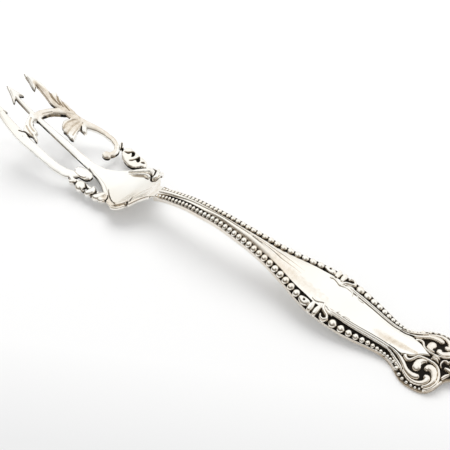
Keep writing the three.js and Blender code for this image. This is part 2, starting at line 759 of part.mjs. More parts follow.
// The pierced head, divided square across where one part of the ornament runs into the next
function headPieces() {
  const low = -headHalfWidth * 2;
  const high = headHalfWidth * 2;
  const [bridgeStart, bridgeEnd] = headRoute([[0.87, 0], [0.69, 0]]).map((point) => point.x);
  const besideCentre = centreTineHalfWidth * besideCentreShare;
  const leftJoint = headPoint([0, -0.555]).y;
  const rightJoint = headPoint([0, 0.54]).y;
  const leftShellStart = headPoint([0.435, 0]).x;
  const rightShellStart = headPoint([0.388, 0]).x;
  const shellEnd = headPoint([0.256, 0]).x;
  const leftShellTop = headPoint([0, -0.47]).y;

  let centre = centreTine().subtract(afterX(bowlTineX));
  let left = leftTine();
  let right = rightTine();
  let base = bowl().subtract(underTable()).subtract(afterX(neckX));
  let leftLink = leftBridge();
  let rightLink = rightBridge();
  let leftShell = leftRootShell();
  let rightShell = rightRootShell();

  [centre, leftLink] = shareOut(centre, leftLink, block(bridgeStart, bridgeEnd, low, -besideCentre));
  [left, leftLink] = shareOut(left, leftLink, block(bridgeStart, bridgeEnd, leftJoint, high));
  [centre, rightLink] = shareOut(centre, rightLink, block(bridgeStart, bridgeEnd, besideCentre, high));
  [right, rightLink] = shareOut(right, rightLink, block(bridgeStart, bridgeEnd, low, rightJoint));
  const leftShellRoom = block(leftShellStart, shellEnd, low, leftShellTop);
  [left, leftShell] = shareOut(left.subtract(leftShellRoom), leftShell, afterX(leftShellStart));
  [base, leftShell] = shareOut(base, leftShell, beforeX(shellEnd));
  const rightShellRoom = afterX(rightShellStart);
  [right, rightShell] = shareOut(right.subtract(rightShellRoom), rightShell, rightShellRoom);
  [base, rightShell] = shareOut(base, rightShell, beforeX(shellEnd));
  return {
    bowl: base, centre_tine: centre, left_tine: left, right_tine: right, left_bridge: leftLink,
    right_bridge: rightLink, left_root_shell: leftShell, right_root_shell: rightShell,
  };
}

function gripPieces() {
  const whole = handle();
  const joint = neckX + panelStartShare * shankLength;
  return { shank: whole.subtract(afterX(joint)), panel: whole.subtract(beforeX(joint)), terminal: terminal() };
}

function group(pieces) {
  const held = new THREE.Group();
  Object.entries(pieces).forEach(([name, solid]) => held.add(node(name, solid, silver(name))));
  return held;
}

const fork = new THREE.Group();
fork.add(group(headPieces()), group(gripPieces()));

// The origin is where the heel of the bowl rests on the table
fork.position.x = -heelX;

export default fork;
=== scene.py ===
"""Pickle fork in sterling silver: the fine relief over its solids, the finish, the floor and the light."""

import math

import bpy
import numpy as np
from mathutils import Matrix, Vector


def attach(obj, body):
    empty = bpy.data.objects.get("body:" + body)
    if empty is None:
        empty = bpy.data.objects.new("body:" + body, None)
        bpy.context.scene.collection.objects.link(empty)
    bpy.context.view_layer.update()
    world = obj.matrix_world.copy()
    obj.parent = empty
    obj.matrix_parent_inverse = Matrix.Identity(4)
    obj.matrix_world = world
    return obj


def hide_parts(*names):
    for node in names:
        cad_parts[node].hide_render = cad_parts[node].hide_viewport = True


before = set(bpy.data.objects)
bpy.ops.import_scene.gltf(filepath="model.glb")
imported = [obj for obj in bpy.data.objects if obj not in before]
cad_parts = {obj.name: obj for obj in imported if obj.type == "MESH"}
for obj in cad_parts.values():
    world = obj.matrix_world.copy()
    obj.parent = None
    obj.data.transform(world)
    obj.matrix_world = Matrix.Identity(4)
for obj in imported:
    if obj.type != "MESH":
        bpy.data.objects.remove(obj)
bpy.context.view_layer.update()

# Whole fork, in millimetres: X runs from the tine tips to the terminal, Z is up
fork_length = 146.2
head_length = 53.8
terminal_reach = 8
waist_setback = 11
tip_rise = 17.4
head_half = 11
handle_half = 8
terminal_half = 10.3
heel_share = 0.26

# Metal of the tines and of the pierced ornament
tine_depth = 0.9
tine_crown = 0.42
centre_half = 0.95
left_half = 1.5
right_half = 1.2
bridge_half = 0.95
head_dish = 0.4

# Bowl
bowl_thickness = 1.8
bowl_hollow = 0.9

# Handle
neck_depth = 1.9
handle_depth = 2
handle_edge = 1.05
bead_radius = 1.02
bead_play = 0.06
border_lip = 0.4
panel_step = 0.14
shank_crest = 0.3
moulding_crown = 0.26
crown_drop = 1.7
belly_share = 0.5

# Terminal
ground_sink = 0.7
terminal_depth = 2.1

# Fineness: cell of the relief maps, and how far a drawn shape reaches past its own edge
head_cell = 0.085
terminal_cell = 0.085
clip_cell = 0.07
skirt_cells = 2.5

metre = 0.001
tip_x = terminal_reach - fork_length
neck_x = tip_x + head_length
waist_x = -waist_setback
shank_length = -neck_x
heel_x = tip_x + heel_share * fork_length

# Heights of the top face along the fork: share of its length from the tips, share of the tip's rise
side_shares = [
    (0, 1), (0.03, 0.81), (0.062, 0.667), (0.103, 0.526), (0.151, 0.362), (0.2, 0.21), (0.248, 0.144),
    (0.289, 0.193), (0.33, 0.317), (0.369, 0.464), (0.417, 0.594), (0.465, 0.654), (0.547, 0.644),
    (0.643, 0.506), (0.712, 0.364), (0.754, 0.299), (0.822, 0.214), (0.904, 0.169), (0.945, 0.167),
    (1, 0.167),
]
# How far along the fork, on either side, its height is averaged
side_smoothing = 1.6
handle_width_shares = [
    (0, 0.3), (0.05, 0.285), (0.17, 0.315), (0.29, 0.385), (0.408, 0.51), (0.467, 0.62), (0.526, 0.77),
    (0.585, 0.925), (0.645, 1), (0.704, 0.988), (0.763, 0.912), (0.822, 0.8), (0.87, 0.75), (0.9, 0.78),
]
bead_size_shares = [
    (0, 0.49), (0.17, 0.6), (0.29, 0.76), (0.408, 0.9), (0.526, 1), (0.645, 0.98), (0.704, 0.92),
    (0.763, 0.82), (0.822, 0.62), (0.87, 0.47), (0.95, 0.44),
]
row_drop_shares = [
    (0, 0), (0.05, 0.05), (0.29, 0.38), (0.467, 0.5), (0.585, 0.32), (0.763, 0.4), (0.87, 0.6), (0.93, 0.8),
    (1, 1), (1.1, 1),
]
depth_shares = [(0, 1), (0.2, 0.95), (0.5, 0.3), (0.6, 0), (1, 0)]
crest_shares = [(0, 0.6), (0.15, 1), (0.4, 0.7), (0.55, 0)]
terminal_row_shares = [(0.87, 0.5), (0.893, 0.52), (0.93, 0.7), (0.96, 0.86), (0.99, 0.94), (1.1, 0.94)]
# How far the far half is drawn in towards the middle: millimetres at x, and its share at y
far_pull = [(-30, 0), (-26, 0.2), (-22, 0.33), (-18, 0.55), (-14, 0.95), (-11, 1.1), (-8, 1.05), (-2, 0.9),
            (8, 0.6)]
far_pull_across = [(0, 0), (0.8, 0.12), (2, 0.6), (3.4, 1), (6.4, 1), (8, 0.75), (10, 0.4)]
clip_start_share = 0.572
clip_end_share = 0.684
panel_start_share = 0.36


def along(rows, place):
    """Value of a table of (place, value) rows at each place, on a smooth line through the rows."""
    rows = np.asarray(rows, float)
    at, value = rows[:, 0], rows[:, 1]
    last = len(rows) - 1
    place = np.clip(np.asarray(place, float), at[0], at[last])
    before = np.maximum(np.arange(last + 1) - 1, 0)
    after = np.minimum(np.arange(last + 1) + 1, last)
    slope = (value[after] - value[before]) / (at[after] - at[before])
    i = np.clip(np.searchsorted(at, place, side="right") - 1, 0, last - 1)
    run = at[i + 1] - at[i]
    t = (place - at[i]) / run
    start = value[i] + t * run * slope[i]
    end = value[i + 1] - (1 - t) * run * slope[i + 1]
    blend = t * t * (3 - 2 * t)
    return start * (1 - blend) + end * blend


def ramp(rows, place):
    """Value of a table of (place, value) rows at each place, on straight lines between the rows."""
    return np.interp(place, *zip(*rows))


def handle_share(x):
    return (x - neck_x) / shank_length


def edge_of(x):
    return handle_half * along(handle_width_shares, handle_share(x))


def bead_of(x):
    return bead_radius * along(bead_size_shares, handle_share(x))


def row_of(x):
    return edge_of(x) - bead_of(x) - border_lip


def panel_of(x):
    return row_of(x) - bead_of(x) - panel_step


def sheet(x, y):
    """Height of the bent sheet over the table at points of the flat plan."""
    x = np.asarray(x, float)
    shares = [(x + step - tip_x) / fork_length for step in (-side_smoothing, 0, side_smoothing)]
    side = tip_rise * np.mean([along(side_shares, share) for share in shares], axis=0)
    share = np.clip((neck_x - x) / (head_length / 4), 0, 1)
    dish = head_dish * share * (y / head_half) ** 2
    reach = np.where(x <= waist_x, row_of(x), terminal_half * along(terminal_row_shares, handle_share(x)))
    drop = crown_drop * along(row_drop_shares, handle_share(x)) * (y / reach) ** 2
    return side + np.where(x < neck_x, dish, -drop)


def to_frame(x, y, z):
    """Points of the plan, at a height over the sheet, as points of the frame in metres."""
    height = np.maximum(sheet(x, y) + z, 0)
    pulled = y - along(far_pull, x) * along(far_pull_across, y)
    return np.stack([(x - heel_x) * metre, pulled * metre, height * metre], axis=-1)


def head(points):
    """Points of the head: share of its length from the neck to the tips, share of its half width."""
    return [(neck_x - length * head_length, side * head_half) for length, side in points]


def smooth_line(points, step=0.2):
    """Points at even steps on a smooth line through the points, with the share of the way of each."""
    points = np.asarray(points, float)
    if len(points) == 1:
        return points, np.zeros(1)
    way = np.concatenate([[0], np.cumsum(np.linalg.norm(np.diff(points, axis=0), axis=1))])
    count = max(int(way[-1] / step), 3) + 1
    at = np.linspace(0, way[-1], count)
    line = np.stack([along(np.stack([way, points[:, k]], 1), at) for k in (0, 1)], 1)
    return line, np.interp(at, way, np.linspace(0, 1, len(points)))


def widths_on(line_shares, widths):
    if np.isscalar(widths):
        return np.full(len(line_shares), float(widths))
    places = np.linspace(0, 1, len(widths))
    return along(np.stack([places, widths], 1), line_shares)


class Relief:
    """A struck and pierced blank drawn flat in plan as height maps, in millimetres over the sheet."""

    def __init__(self, low, high, cell):
        self.cell = cell
        self.start = np.floor(np.array(low) / cell) * cell
        self.counts = np.ceil((np.array(high) - self.start) / cell).astype(int) + 1
        axes = [self.start[k] + cell * np.arange(self.counts[k]) for k in (0, 1)]
        self.x, self.y = np.meshgrid(*axes, indexing="ij")
        self.inside = np.full(self.x.shape, -99.0)
        self.top = np.full(self.x.shape, -99.0)
        self.skirt = np.full(self.x.shape, -99.0)
        self.back = np.zeros(self.x.shape)
        self.dark = np.zeros(self.x.shape)
        # Painted shade for the near walls
        self.under = np.zeros(self.x.shape)

    def window(self, line, reach):
        low = np.floor((line.min(0) - reach - self.start) / self.cell).astype(int)
        high = np.ceil((line.max(0) + reach - self.start) / self.cell).astype(int) + 1
        low = np.clip(low, 0, self.counts)
        high = np.clip(high, 0, self.counts)
        return slice(low[0], high[0]), slice(low[1], high[1])

    def measure(self, route, widths):
        """Window round a route, the distance in from its band's edge there, the half width and the way."""
        line, shares = smooth_line(route)
        half = widths_on(shares, widths)
        box = self.window(line, half.max() + skirt_cells * self.cell)
        x, y = self.x[box], self.y[box]
        best = np.full(x.shape, -99.0)
        width = np.full(x.shape, half[0])
        place = np.zeros(x.shape)
        if len(line) == 1:
            return box, half[0] - np.hypot(x - line[0, 0], y - line[0, 1]), width, place
        for k in range(len(line) - 1):
            a, way = line[k], line[k + 1] - line[k]
            t = np.clip(((x - a[0]) * way[0] + (y - a[1]) * way[1]) / max(way @ way, 1e-9), 0, 1)
            wide = half[k] + (half[k + 1] - half[k]) * t
            depth = wide - np.hypot(x - a[0] - way[0] * t, y - a[1] - way[1] * t)
            nearer = depth > best
            best = np.where(nearer, depth, best)
            width = np.where(nearer, wide, width)
            place = np.where(nearer, shares[k] + (shares[k + 1] - shares[k]) * t, place)
        return box, best, width, place

    def lay(self, box, distance, height, level, depth):
        """Adds metal: its top where the distance in from the edge is above 0, and its level past it."""
        on = distance > 0
        near = distance > -skirt_cells * self.cell
        top, skirt, back = self.top[box], self.skirt[box], self.back[box]
        top[on] = np.maximum(top, height)[on]
        skirt[near] = np.maximum(skirt, level)[near]
        if depth is not None:
            back[near] = np.minimum(back, -depth)[near]
            self.inside[box] = np.maximum(self.inside[box], distance)

    def ridge(self, route, widths, crown, level=0.0, depth=tine_depth, power=0.5):
        """Domed band along a route, with a half width, and a crown if wanted, at each of its points."""
        box, distance, width, place = self.measure(route, widths)
        across = np.clip(1 - distance / np.maximum(width, 1e-6), 0, 1)
        if not np.isscalar(crown):
            crown = np.interp(place, np.linspace(0, 1, len(crown)), crown)
        height = level + crown * (1 - across**2) ** power
        self.lay(box, distance, height, level, depth)

    def plate(self, outline, crown, level=0.0, depth=tine_depth, edge=0.5):
        """Plate with a closed outline, rounded over the edge's width."""
        box, distance = self.fill(outline)
        across = 1 - np.clip(distance / edge, 0, 1)
        height = level + crown * np.sqrt(1 - across**2)
        self.lay(box, distance, height, level, depth)

    def fill(self, outline):
        """Window round a closed outline, and the distance in from it there."""
        points = np.asarray(outline, float)
        closed = np.concatenate([points[-2:], points, points[:2]])
        dense, _ = smooth_line(closed, 0.12)
        way = np.linalg.norm(np.diff(closed, axis=0), axis=1)
        total = way.sum()
        first, last = way[:2].sum() / total, 1 - way[-1] / total
        places = np.linspace(0, 1, len(dense))
        line = dense[(places >= first - 1e-9) & (places < last)]
        box = self.window(line, skirt_cells * self.cell)
        x, y = self.x[box], self.y[box]
        best = np.full(x.shape, 99.0)
        odd = np.zeros(x.shape, bool)
        for a, b in zip(line, np.roll(line, -1, axis=0)):
            way = b - a
            t = np.clip(((x - a[0]) * way[0] + (y - a[1]) * way[1]) / max(way @ way, 1e-9), 0, 1)
            best = np.minimum(best, np.hypot(x - a[0] - way[0] * t, y - a[1] - way[1] * t))
            if a[1] != b[1]:
                crossing = (a[1] > y) != (b[1] > y)
                odd ^= crossing & (x < a[0] + (y - a[1]) / (b[1] - a[1]) * way[0])
        return box, np.where(odd, best, -best)

    def groove(self, route, widths, depth, dark=1.0):
        """Chased line: sinks the top along a route and darkens it."""
        box, distance, width, _ = self.measure(route, widths)
        across = np.clip(1 - distance / np.maximum(width, 1e-6), 0, 1)
        sunk = (1 - across**2) * (distance > 0)
        self.top[box] -= depth * sunk
        self.dark[box] = np.maximum(self.dark[box], dark * np.minimum(1.6 * sunk, 1))

    def pit(self, outline, depth, dark=1.0, edge=0.3):
        """Punched hollow with a closed outline."""
        box, distance = self.fill(outline)
        sunk = np.clip(distance / edge, 0, 1)
        self.top[box] -= depth * sunk
        self.dark[box] = np.maximum(self.dark[box], dark * np.minimum(1.5 * sunk, 1))

    def tone(self, route, widths, dark):
        """Painted shade and dim reflection: a thin brown tint of the metal round a route, fading towards
        its edge.
        """
        box, distance, width, _ = self.measure(route, widths)
        share = np.clip(distance / np.maximum(0.6 * width, 1e-6), 0, 1)
        self.dark[box] = np.maximum(self.dark[box], dark * share)

    def paint_undercut_shade(self, route, widths, dark):
        """Painted shade: darkens the near walls round a route, as shade under it would."""
        box, distance = self.measure(route, widths)[:2]
        self.under[box] = np.maximum(self.under[box], dark * (distance > 0))

    def finish(self, roll=0.35, recess_reach=0.3, recess_gain=2.6):
        """Rounds the back's edges and finds the recesses, which lie lower than what is round them."""
        self.top = np.where(self.top < -90, np.maximum(self.skirt, -0.6), self.top)
        inner = np.clip(self.inside / roll, 0, 1)
        self.back += np.minimum(roll, -0.4 * self.back) * (1 - np.sqrt(1 - (1 - inner) ** 2))
        self.back = np.minimum(self.back, self.top - 0.25)
        metal = (self.inside > 0).astype(float)
        reach = max(int(recess_reach / self.cell), 1)
        around = blurred(self.top * metal, reach) / np.maximum(blurred(metal, reach), 1e-3)
        low = np.clip((around - self.top) * recess_gain, 0, 1) * metal
        self.dark = np.maximum(self.dark, low)
        self.metal = metal

    def blacken(self, below, reach):
        """Blackens what lies lower than a height, wholly so when it is lower by the reach."""
        self.dark = np.maximum(self.dark, np.clip((below - self.top) / reach, 0, 1))

    def enclosed(self, x, y, heading_x, heading_y, reach=9.0):
        """How near other metal stands across a gap, from 1 close by to 0 at the reach or beyond."""
        near = np.zeros(len(x))
        for step in np.arange(0.4, reach, 0.4):
            i = np.round((x + heading_x * step - self.start[0]) / self.cell).astype(int)
            j = np.round((y + heading_y * step - self.start[1]) / self.cell).astype(int)
            ok = (i >= 0) & (j >= 0) & (i < self.counts[0]) & (j < self.counts[1])
            hit = np.zeros(len(x), bool)
            hit[ok] = self.metal[i[ok], j[ok]] > 0
            near = np.maximum(near, np.where(hit, 1 - step / reach, 0))
        return np.clip(near * 1.7, 0, 1)

    def piece(self, name, region=None):
        """Closed mesh of the metal inside a region, which is a map above 0 where the piece is."""
        edge = self.inside if region is None else np.minimum(self.inside, region)
        least = 0.12 * self.cell
        edge = np.where(np.abs(edge) < least, np.where(edge > 0, least, -least), edge)
        return relief_mesh(name, self, edge)


def blurred(values, reach):
    """Mean over a square of cells, twice, for a soft blur."""
    for _ in range(2):
        for axis in (0, 1):
            pad = [(0, 0), (0, 0)]
            pad[axis] = (reach + 1, reach)
            total = np.cumsum(np.pad(values, pad, mode="edge"), axis=axis)
            size = values.shape[axis]
            upper = np.take(total, np.arange(2 * reach + 1, 2 * reach + 1 + size), axis=axis)
            lower = np.take(total, np.arange(size), axis=axis)
            values = (upper - lower) / (2 * reach + 1)
    return values


# Polygons of a cell by which of its corners lie inside, corners 0 to 3 and edges 4 to 7 in turn
cell_polygons = {
    1: [(0, 4, 7)], 2: [(1, 5, 4)], 3: [(0, 1, 5, 7)], 4: [(2, 6, 5)], 5: [(0, 4, 7), (2, 6, 5)],
    6: [(1, 2, 6, 4)], 7: [(0, 1, 2, 6, 7)], 8: [(3, 7, 6)], 9: [(0, 4, 6, 3)],
    10: [(1, 5, 4), (3, 7, 6)], 11: [(0, 1, 5, 6, 3)], 12: [(2, 3, 7, 5)], 13: [(0, 4, 5, 2, 3)],
    14: [(1, 2, 3, 7, 4)], 15: [(0, 1, 2, 3)],
}


def relief_mesh(name, relief, edge):
    """Top and back faces inside the edge's zero line, and walls round it."""
    inside = edge > 0
    maps = {key: getattr(relief, key) for key in ("x", "y", "top", "back", "dark", "under")}
    maps["slope_x"], maps["slope_y"] = np.gradient(relief.inside, relief.cell)
    columns = {key: [] for key in maps}
    total = 0

    def gather(mask_a, mask_b, share):
        """Numbers of new points that lie a share of the way between the cells of two masks."""
        nonlocal total
        for key, values in maps.items():
            columns[key].append(values[mask_a] * (1 - share) + values[mask_b] * share)
        count = int(mask_a.sum())
        total += count
        return np.arange(total - count, total)

    nodes = np.full(inside.shape, -1)
    nodes[inside] = gather(inside, inside, np.zeros(int(inside.sum())))
    crossings = []
    for axis in (0, 1):
        first = tuple(slice(0, -1) if k == axis else slice(None) for k in (0, 1))
        second = tuple(slice(1, None) if k == axis else slice(None) for k in (0, 1))
        crossed = inside[first] != inside[second]
        mask_a, mask_b = np.zeros(inside.shape, bool), np.zeros(inside.shape, bool)
        mask_a[first], mask_b[second] = crossed, crossed
        share = (edge[first] / np.where(crossed, edge[first] - edge[second], 1))[crossed]
        found = np.full(crossed.shape, -1)
        found[crossed] = gather(mask_a, mask_b, share)
        crossings.append(found)
    cells = np.stack([
        nodes[:-1, :-1], nodes[1:, :-1], nodes[1:, 1:], nodes[:-1, 1:],
        crossings[0][:, :-1], crossings[1][1:, :], crossings[0][:, 1:], crossings[1][:-1, :],
    ])
    code = (inside[:-1, :-1] + 2 * inside[1:, :-1] + 4 * inside[1:, 1:] + 8 * inside[:-1, 1:])
    tops, rims = [], []
    for number, polygons in cell_polygons.items():
        here = code == number
        if not here.any():
            continue
        for polygon in polygons:
            tops.append(np.stack([cells[k][here] for k in polygon], 1))
            for a, b in zip(polygon, polygon[1:] + polygon[:1]):
                if a > 3 and b > 3:
                    rims.append(np.stack([cells[a][here], cells[b][here]], 1))
    data = {key: np.concatenate(values) for key, values in columns.items()}
    rim = np.concatenate(rims)
    upper = to_frame(data["x"], data["y"], data["top"])
    under = to_frame(data["x"], data["y"], data["back"])
    on_wall = np.unique(rim)
    x, y, slope_x, slope_y = (data[key][on_wall] for key in ("x", "y", "slope_x", "slope_y"))
    length = np.hypot(slope_x, slope_y) + 1e-9
    # Walls darken where other metal stands close across a gap, partly as tarnish in the piercings and
    # partly as painted shade; near walls also take their own painted shade
    wall = np.zeros(total)
    wall[on_wall] = relief.enclosed(x, y, -slope_x / length, -slope_y / length)
    wall[on_wall] = np.maximum(wall[on_wall], data["under"][on_wall] * (slope_y > 0))
    faces = tops + [face[:, ::-1] + total for face in tops]
    walls = np.stack([rim[:, 0] + total, rim[:, 1] + total, rim[:, 1], rim[:, 0]], 1)
    top_count = sum(face.size for face in tops)
    tarnish_and_shade = np.concatenate([
        np.concatenate([data["dark"][face].ravel() for face in tops]),
        np.zeros(top_count),
        wall[walls % total].ravel(),
    ])
    return plain_mesh(name, np.concatenate([upper, under]), faces + [walls], tarnish_and_shade)


def in_scene(name, data):
    """New object that holds the data, linked to the scene."""
    piece = bpy.data.objects.new(name, data)
    bpy.context.scene.collection.objects.link(piece)
    return piece


def add(tree, kind, sockets=None, settings=None):
    """Outputs of a new node, with its settings, and a value or a link for each socket that is named."""
    node = tree.nodes.new(kind)
    for label, value in (settings or {}).items():
        setattr(node, label, value)
    for label, value in (sockets or {}).items():
        if isinstance(value, bpy.types.NodeSocket):
            tree.links.new(value, node.inputs[label])
        else:
            node.inputs[label].default_value = value
    return node.outputs


def plain_mesh(name, points, faces, tarnish_and_shade, crease=50):
    """Object with its place in its mesh, smooth but for sharp creases, with its tarnish and painted shade
    at each corner.
    """
    mesh = bpy.data.meshes.new(name)
    loops = np.concatenate([face.ravel() for face in faces]).astype(np.int32)
    sizes = np.concatenate([np.full(len(face), face.shape[1]) for face in faces])
    starts = np.concatenate([[0], np.cumsum(sizes)[:-1]]).astype(np.int32)
    mesh.vertices.add(len(points))
    mesh.vertices.foreach_set("co", points.astype(np.float32).ravel())
    mesh.loops.add(len(loops))
    mesh.loops.foreach_set("vertex_index", loops)
    mesh.polygons.add(len(sizes))
    mesh.polygons.foreach_set("loop_start", starts)
    mesh.polygons.foreach_set("use_smooth", np.ones(len(sizes), bool))
    attribute = mesh.attributes.new("tarnish_and_shade", "FLOAT", "CORNER")
    attribute.data.foreach_set("value", np.clip(tarnish_and_shade, 0, 1).astype(np.float32))
    mesh.update(calc_edges=True)
    mesh.validate()
    mesh.set_sharp_from_angle(angle=math.radians(crease))
    return in_scene(name, mesh)


def box_map(relief, x_low, x_high, y_low, y_high):
    """Map above 0 between two planes across the fork and two along it."""
    x_in = np.minimum(relief.x - x_low, x_high - relief.x)
    return np.minimum(x_in, np.minimum(relief.y - y_low, y_high - relief.y))


def side_map(relief, start, end):
    """Map above 0 on the left of a line from start to end."""
    (ax, ay), (bx, by) = start, end
    length = math.hypot(bx - ax, by - ay)
    return ((bx - ax) * (relief.y - ay) - (by - ay) * (relief.x - ax)) / length


# Head


def draw_centre_tine(relief):
    stem = head([(0.99, 0), (0.96, 0), (0.925, 0), (0.85, 0), (0.75, 0), (0.65, 0), (0.56, 0), (0.515, 0),
                 (0.475, 0)])
    relief.ridge(stem, [0.15, 0.5, 0.6, 0.66, 0.84, 1.0, 1.12, 1.2, 1.25],
                 [0.42, 0.46, 0.46, 0.42, 0.42, 0.42, 0.38, 0.24, 0])
    half = [(0.992, 0.02), (0.975, 0.06), (0.95, 0.115), (0.93, 0.165), (0.919, 0.18), (0.922, 0.13),
            (0.929, 0.065)]
    arrow = [(0.997, 0)] + half + [(length, -side) for length, side in reversed(half)]
    relief.plate(head(arrow), 0.6, edge=1.1)
    # Painted shade: brown tint on the stem where it meets the bowl
    relief.tone(head([(0.55, 0.1), (0.48, 0.13), (0.42, 0.2)]), 0.5, 0.2)


def draw_left_tine(relief):
    band = head([
        (0.985, -0.6), (0.95, -0.625), (0.9, -0.65), (0.83, -0.69), (0.75, -0.73), (0.67, -0.725),
        (0.59, -0.715), (0.525, -0.67), (0.485, -0.58), (0.455, -0.44),
    ])
    shares = [0.1, 0.55, 0.75, 0.93, 0.96, 0.93, 0.9, 0.93, 0.9, 0.55]
    relief.ridge(band, [left_half * share for share in shares], tine_crown)
    relief.plate(head([
        (0.99, -0.6), (0.955, -0.555), (0.912, -0.505), (0.905, -0.5), (0.91, -0.545), (0.915, -0.6),
        (0.9, -0.66), (0.935, -0.68), (0.965, -0.66),
    ]), 0.5, edge=0.7)
    relief.plate(head([
        (0.482, -0.42), (0.455, -0.47), (0.42, -0.47), (0.398, -0.4), (0.393, -0.3), (0.4, -0.215),
        (0.425, -0.165), (0.46, -0.19), (0.48, -0.25), (0.488, -0.33),
    ]), 0.72, edge=2.2)
    relief.groove(head([(0.487, -0.43), (0.455, -0.475), (0.425, -0.455), (0.412, -0.4)]), 0.16, 0.15, 0.25)


def draw_right_tine(relief):
    band = head([
        (0.99, 0.605), (0.955, 0.655), (0.905, 0.725), (0.85, 0.71), (0.79, 0.7), (0.735, 0.735),
        (0.68, 0.75), (0.63, 0.8), (0.585, 0.9), (0.54, 0.975), (0.5, 1.0), (0.455, 0.975), (0.425, 0.87),
        (0.415, 0.71), (0.432, 0.56),
    ])
    shares = [0.1, 0.5, 0.75, 0.83, 0.88, 0.95, 1, 1, 0.8, 0.65, 0.6, 0.6, 0.6, 0.65, 0.62]
    relief.ridge(band, [right_half * share for share in shares], tine_crown)
    relief.plate(head([
        (0.992, 0.605), (0.955, 0.56), (0.911, 0.512), (0.912, 0.56), (0.917, 0.628), (0.89, 0.64),
        (0.84, 0.6), (0.8, 0.57), (0.76, 0.62), (0.7, 0.7), (0.69, 0.84), (0.735, 0.865), (0.757, 0.885),
        (0.768, 0.885), (0.786, 0.86), (0.8, 0.88), (0.812, 0.893), (0.822, 0.885), (0.833, 0.922),
        (0.845, 0.85), (0.856, 0.79), (0.872, 0.805), (0.904, 0.82), (0.945, 0.74), (0.975, 0.665),
    ]), 0.55, edge=1.0)
    relief.ridge(head([(0.434, 0.525)]), 1.25, 0.7)
    relief.plate(head([
        (0.693, 0.62), (0.702, 0.48), (0.697, 0.36), (0.684, 0.27), (0.672, 0.245), (0.662, 0.205),
        (0.648, 0.215), (0.634, 0.205), (0.618, 0.185), (0.603, 0.2), (0.601, 0.26), (0.61, 0.4),
        (0.618, 0.56), (0.603, 0.575), (0.588, 0.59), (0.593, 0.7), (0.62, 0.76), (0.66, 0.77), (0.7, 0.72),
    ]), 0.6, edge=0.9)
    for route, widths, depth, dark in (
        ([(0.662, 0.72), (0.678, 0.55), (0.682, 0.4), (0.674, 0.28)], 0.3, 0.2, 0.36),
        ([(0.646, 0.72), (0.652, 0.52), (0.648, 0.36), (0.642, 0.24)], 0.32, 0.2, 0.36),
        ([(0.632, 0.76), (0.628, 0.62), (0.624, 0.46), (0.617, 0.3)], 0.26, 0.18, 0.34),
        ([(0.858, 0.8), (0.84, 0.75), (0.81, 0.71), (0.77, 0.7)], [0.4, 0.36, 0.3, 0.12], 0.3, 0.5),
        ([(0.823, 0.91), (0.81, 0.83), (0.785, 0.76), (0.755, 0.73)], [0.36, 0.36, 0.3, 0.12], 0.3, 0.5),
        ([(0.79, 0.89), (0.777, 0.83), (0.755, 0.79), (0.72, 0.77)], [0.36, 0.34, 0.28, 0.12], 0.28, 0.46),
        ([(0.535, 1.02), (0.5, 1.045), (0.455, 1.02), (0.43, 0.93)], 0.2, 0.14, 0.3),
        ([(0.622, 0.66), (0.61, 0.55), (0.603, 0.42)], [0.18, 0.3, 0.15], 0.4, 0.95),
    ):
        relief.groove(head(route), widths, depth, dark)
    # Painted shade: brown tint over the right tine and its leaves, in place of their dimmer reflection
    relief.tone(head([(0.93, 0.66), (0.86, 0.68), (0.79, 0.7), (0.72, 0.74), (0.66, 0.7), (0.66, 0.4)]),
                [1.0, 1.6, 2.0, 2.4, 2.8, 2.8], 0.3)
    relief.tone(head([(0.66, 0.8), (0.58, 0.92), (0.5, 1.0), (0.44, 0.88), (0.418, 0.71), (0.43, 0.5)]),
                [1.8, 1.6, 1.4, 1.0, 0.9, 1.6], 0.22)
    relief.ridge([(-106.3, 10.6), (-107.0, 11.4), (-107.3, 12.0)], [0.55, 0.5, 0.3], 0.4)
    relief.groove([(-106.2, 10.2), (-106.6, 11.0), (-107.1, 11.7)], 0.22, 0.35, 0.9)


def draw_left_bridge(relief):
    relief.plate(head([
        (0.838, -0.02), (0.833, -0.13), (0.822, -0.28), (0.805, -0.45), (0.79, -0.6), (0.785, -0.72),
        (0.76, -0.74), (0.757, -0.62), (0.75, -0.55), (0.735, -0.525), (0.709, -0.56), (0.706, -0.52),
        (0.716, -0.46), (0.737, -0.4), (0.735, -0.345), (0.752, -0.3), (0.777, -0.26), (0.786, -0.21),
        (0.797, -0.16), (0.79, -0.02),
    ]), 0.6, edge=0.9)
    for route, widths, depth, dark in (
        ([(0.812, -0.16), (0.798, -0.28), (0.775, -0.36), (0.752, -0.38)], 0.3, 0.2, 0.34),
        ([(0.795, -0.42), (0.77, -0.47), (0.742, -0.5)], 0.3, 0.2, 0.34),
        ([(0.8, -0.66), (0.782, -0.6), (0.762, -0.575), (0.745, -0.58)], 0.26, 0.45, 0.95),
    ):
        relief.groove(head(route), widths, depth, dark)


def draw_right_bridge(relief):
    arch = head([(0.803, 0), (0.806, 0.1), (0.797, 0.25), (0.785, 0.38), (0.765, 0.52), (0.74, 0.68)])
    relief.ridge(arch, [bridge_half * share for share in (1.2, 1.12, 1.02, 0.95, 1, 1.25)], 0.5, depth=1.2)
    # Painted shade on the near walls under the arch, and a brown painted shade over the arch
    relief.paint_undercut_shade(arch[1:], 2.0, 0.58)
    relief.groove(head([(0.795, 0.16), (0.785, 0.28), (0.772, 0.4)]), 0.2, 0.12, 0.3)
    relief.tone(arch, 1.5, 0.2)


bowl_outline_shares = [
    (-0.03, -0.21, 0.21), (0.02, -0.225, 0.225), (0.05, -0.36, 0.37), (0.085, -0.6, 0.6),
    (0.12, -0.82, 0.75), (0.155, -0.86, 0.81), (0.19, -0.8, 0.8), (0.22, -0.7, 0.7),
    (0.255, -0.575, 0.62), (0.29, -0.44, 0.49), (0.345, -0.275, 0.3), (0.42, -0.15, 0.17),
    (0.475, -0.12, 0.12), (0.52, -0.1, 0.1),
]
hollow_shares = [(0.03, 0), (0.12, 0.7), (0.24, 1), (0.34, 0.75), (0.44, 0.1), (0.475, 0)]


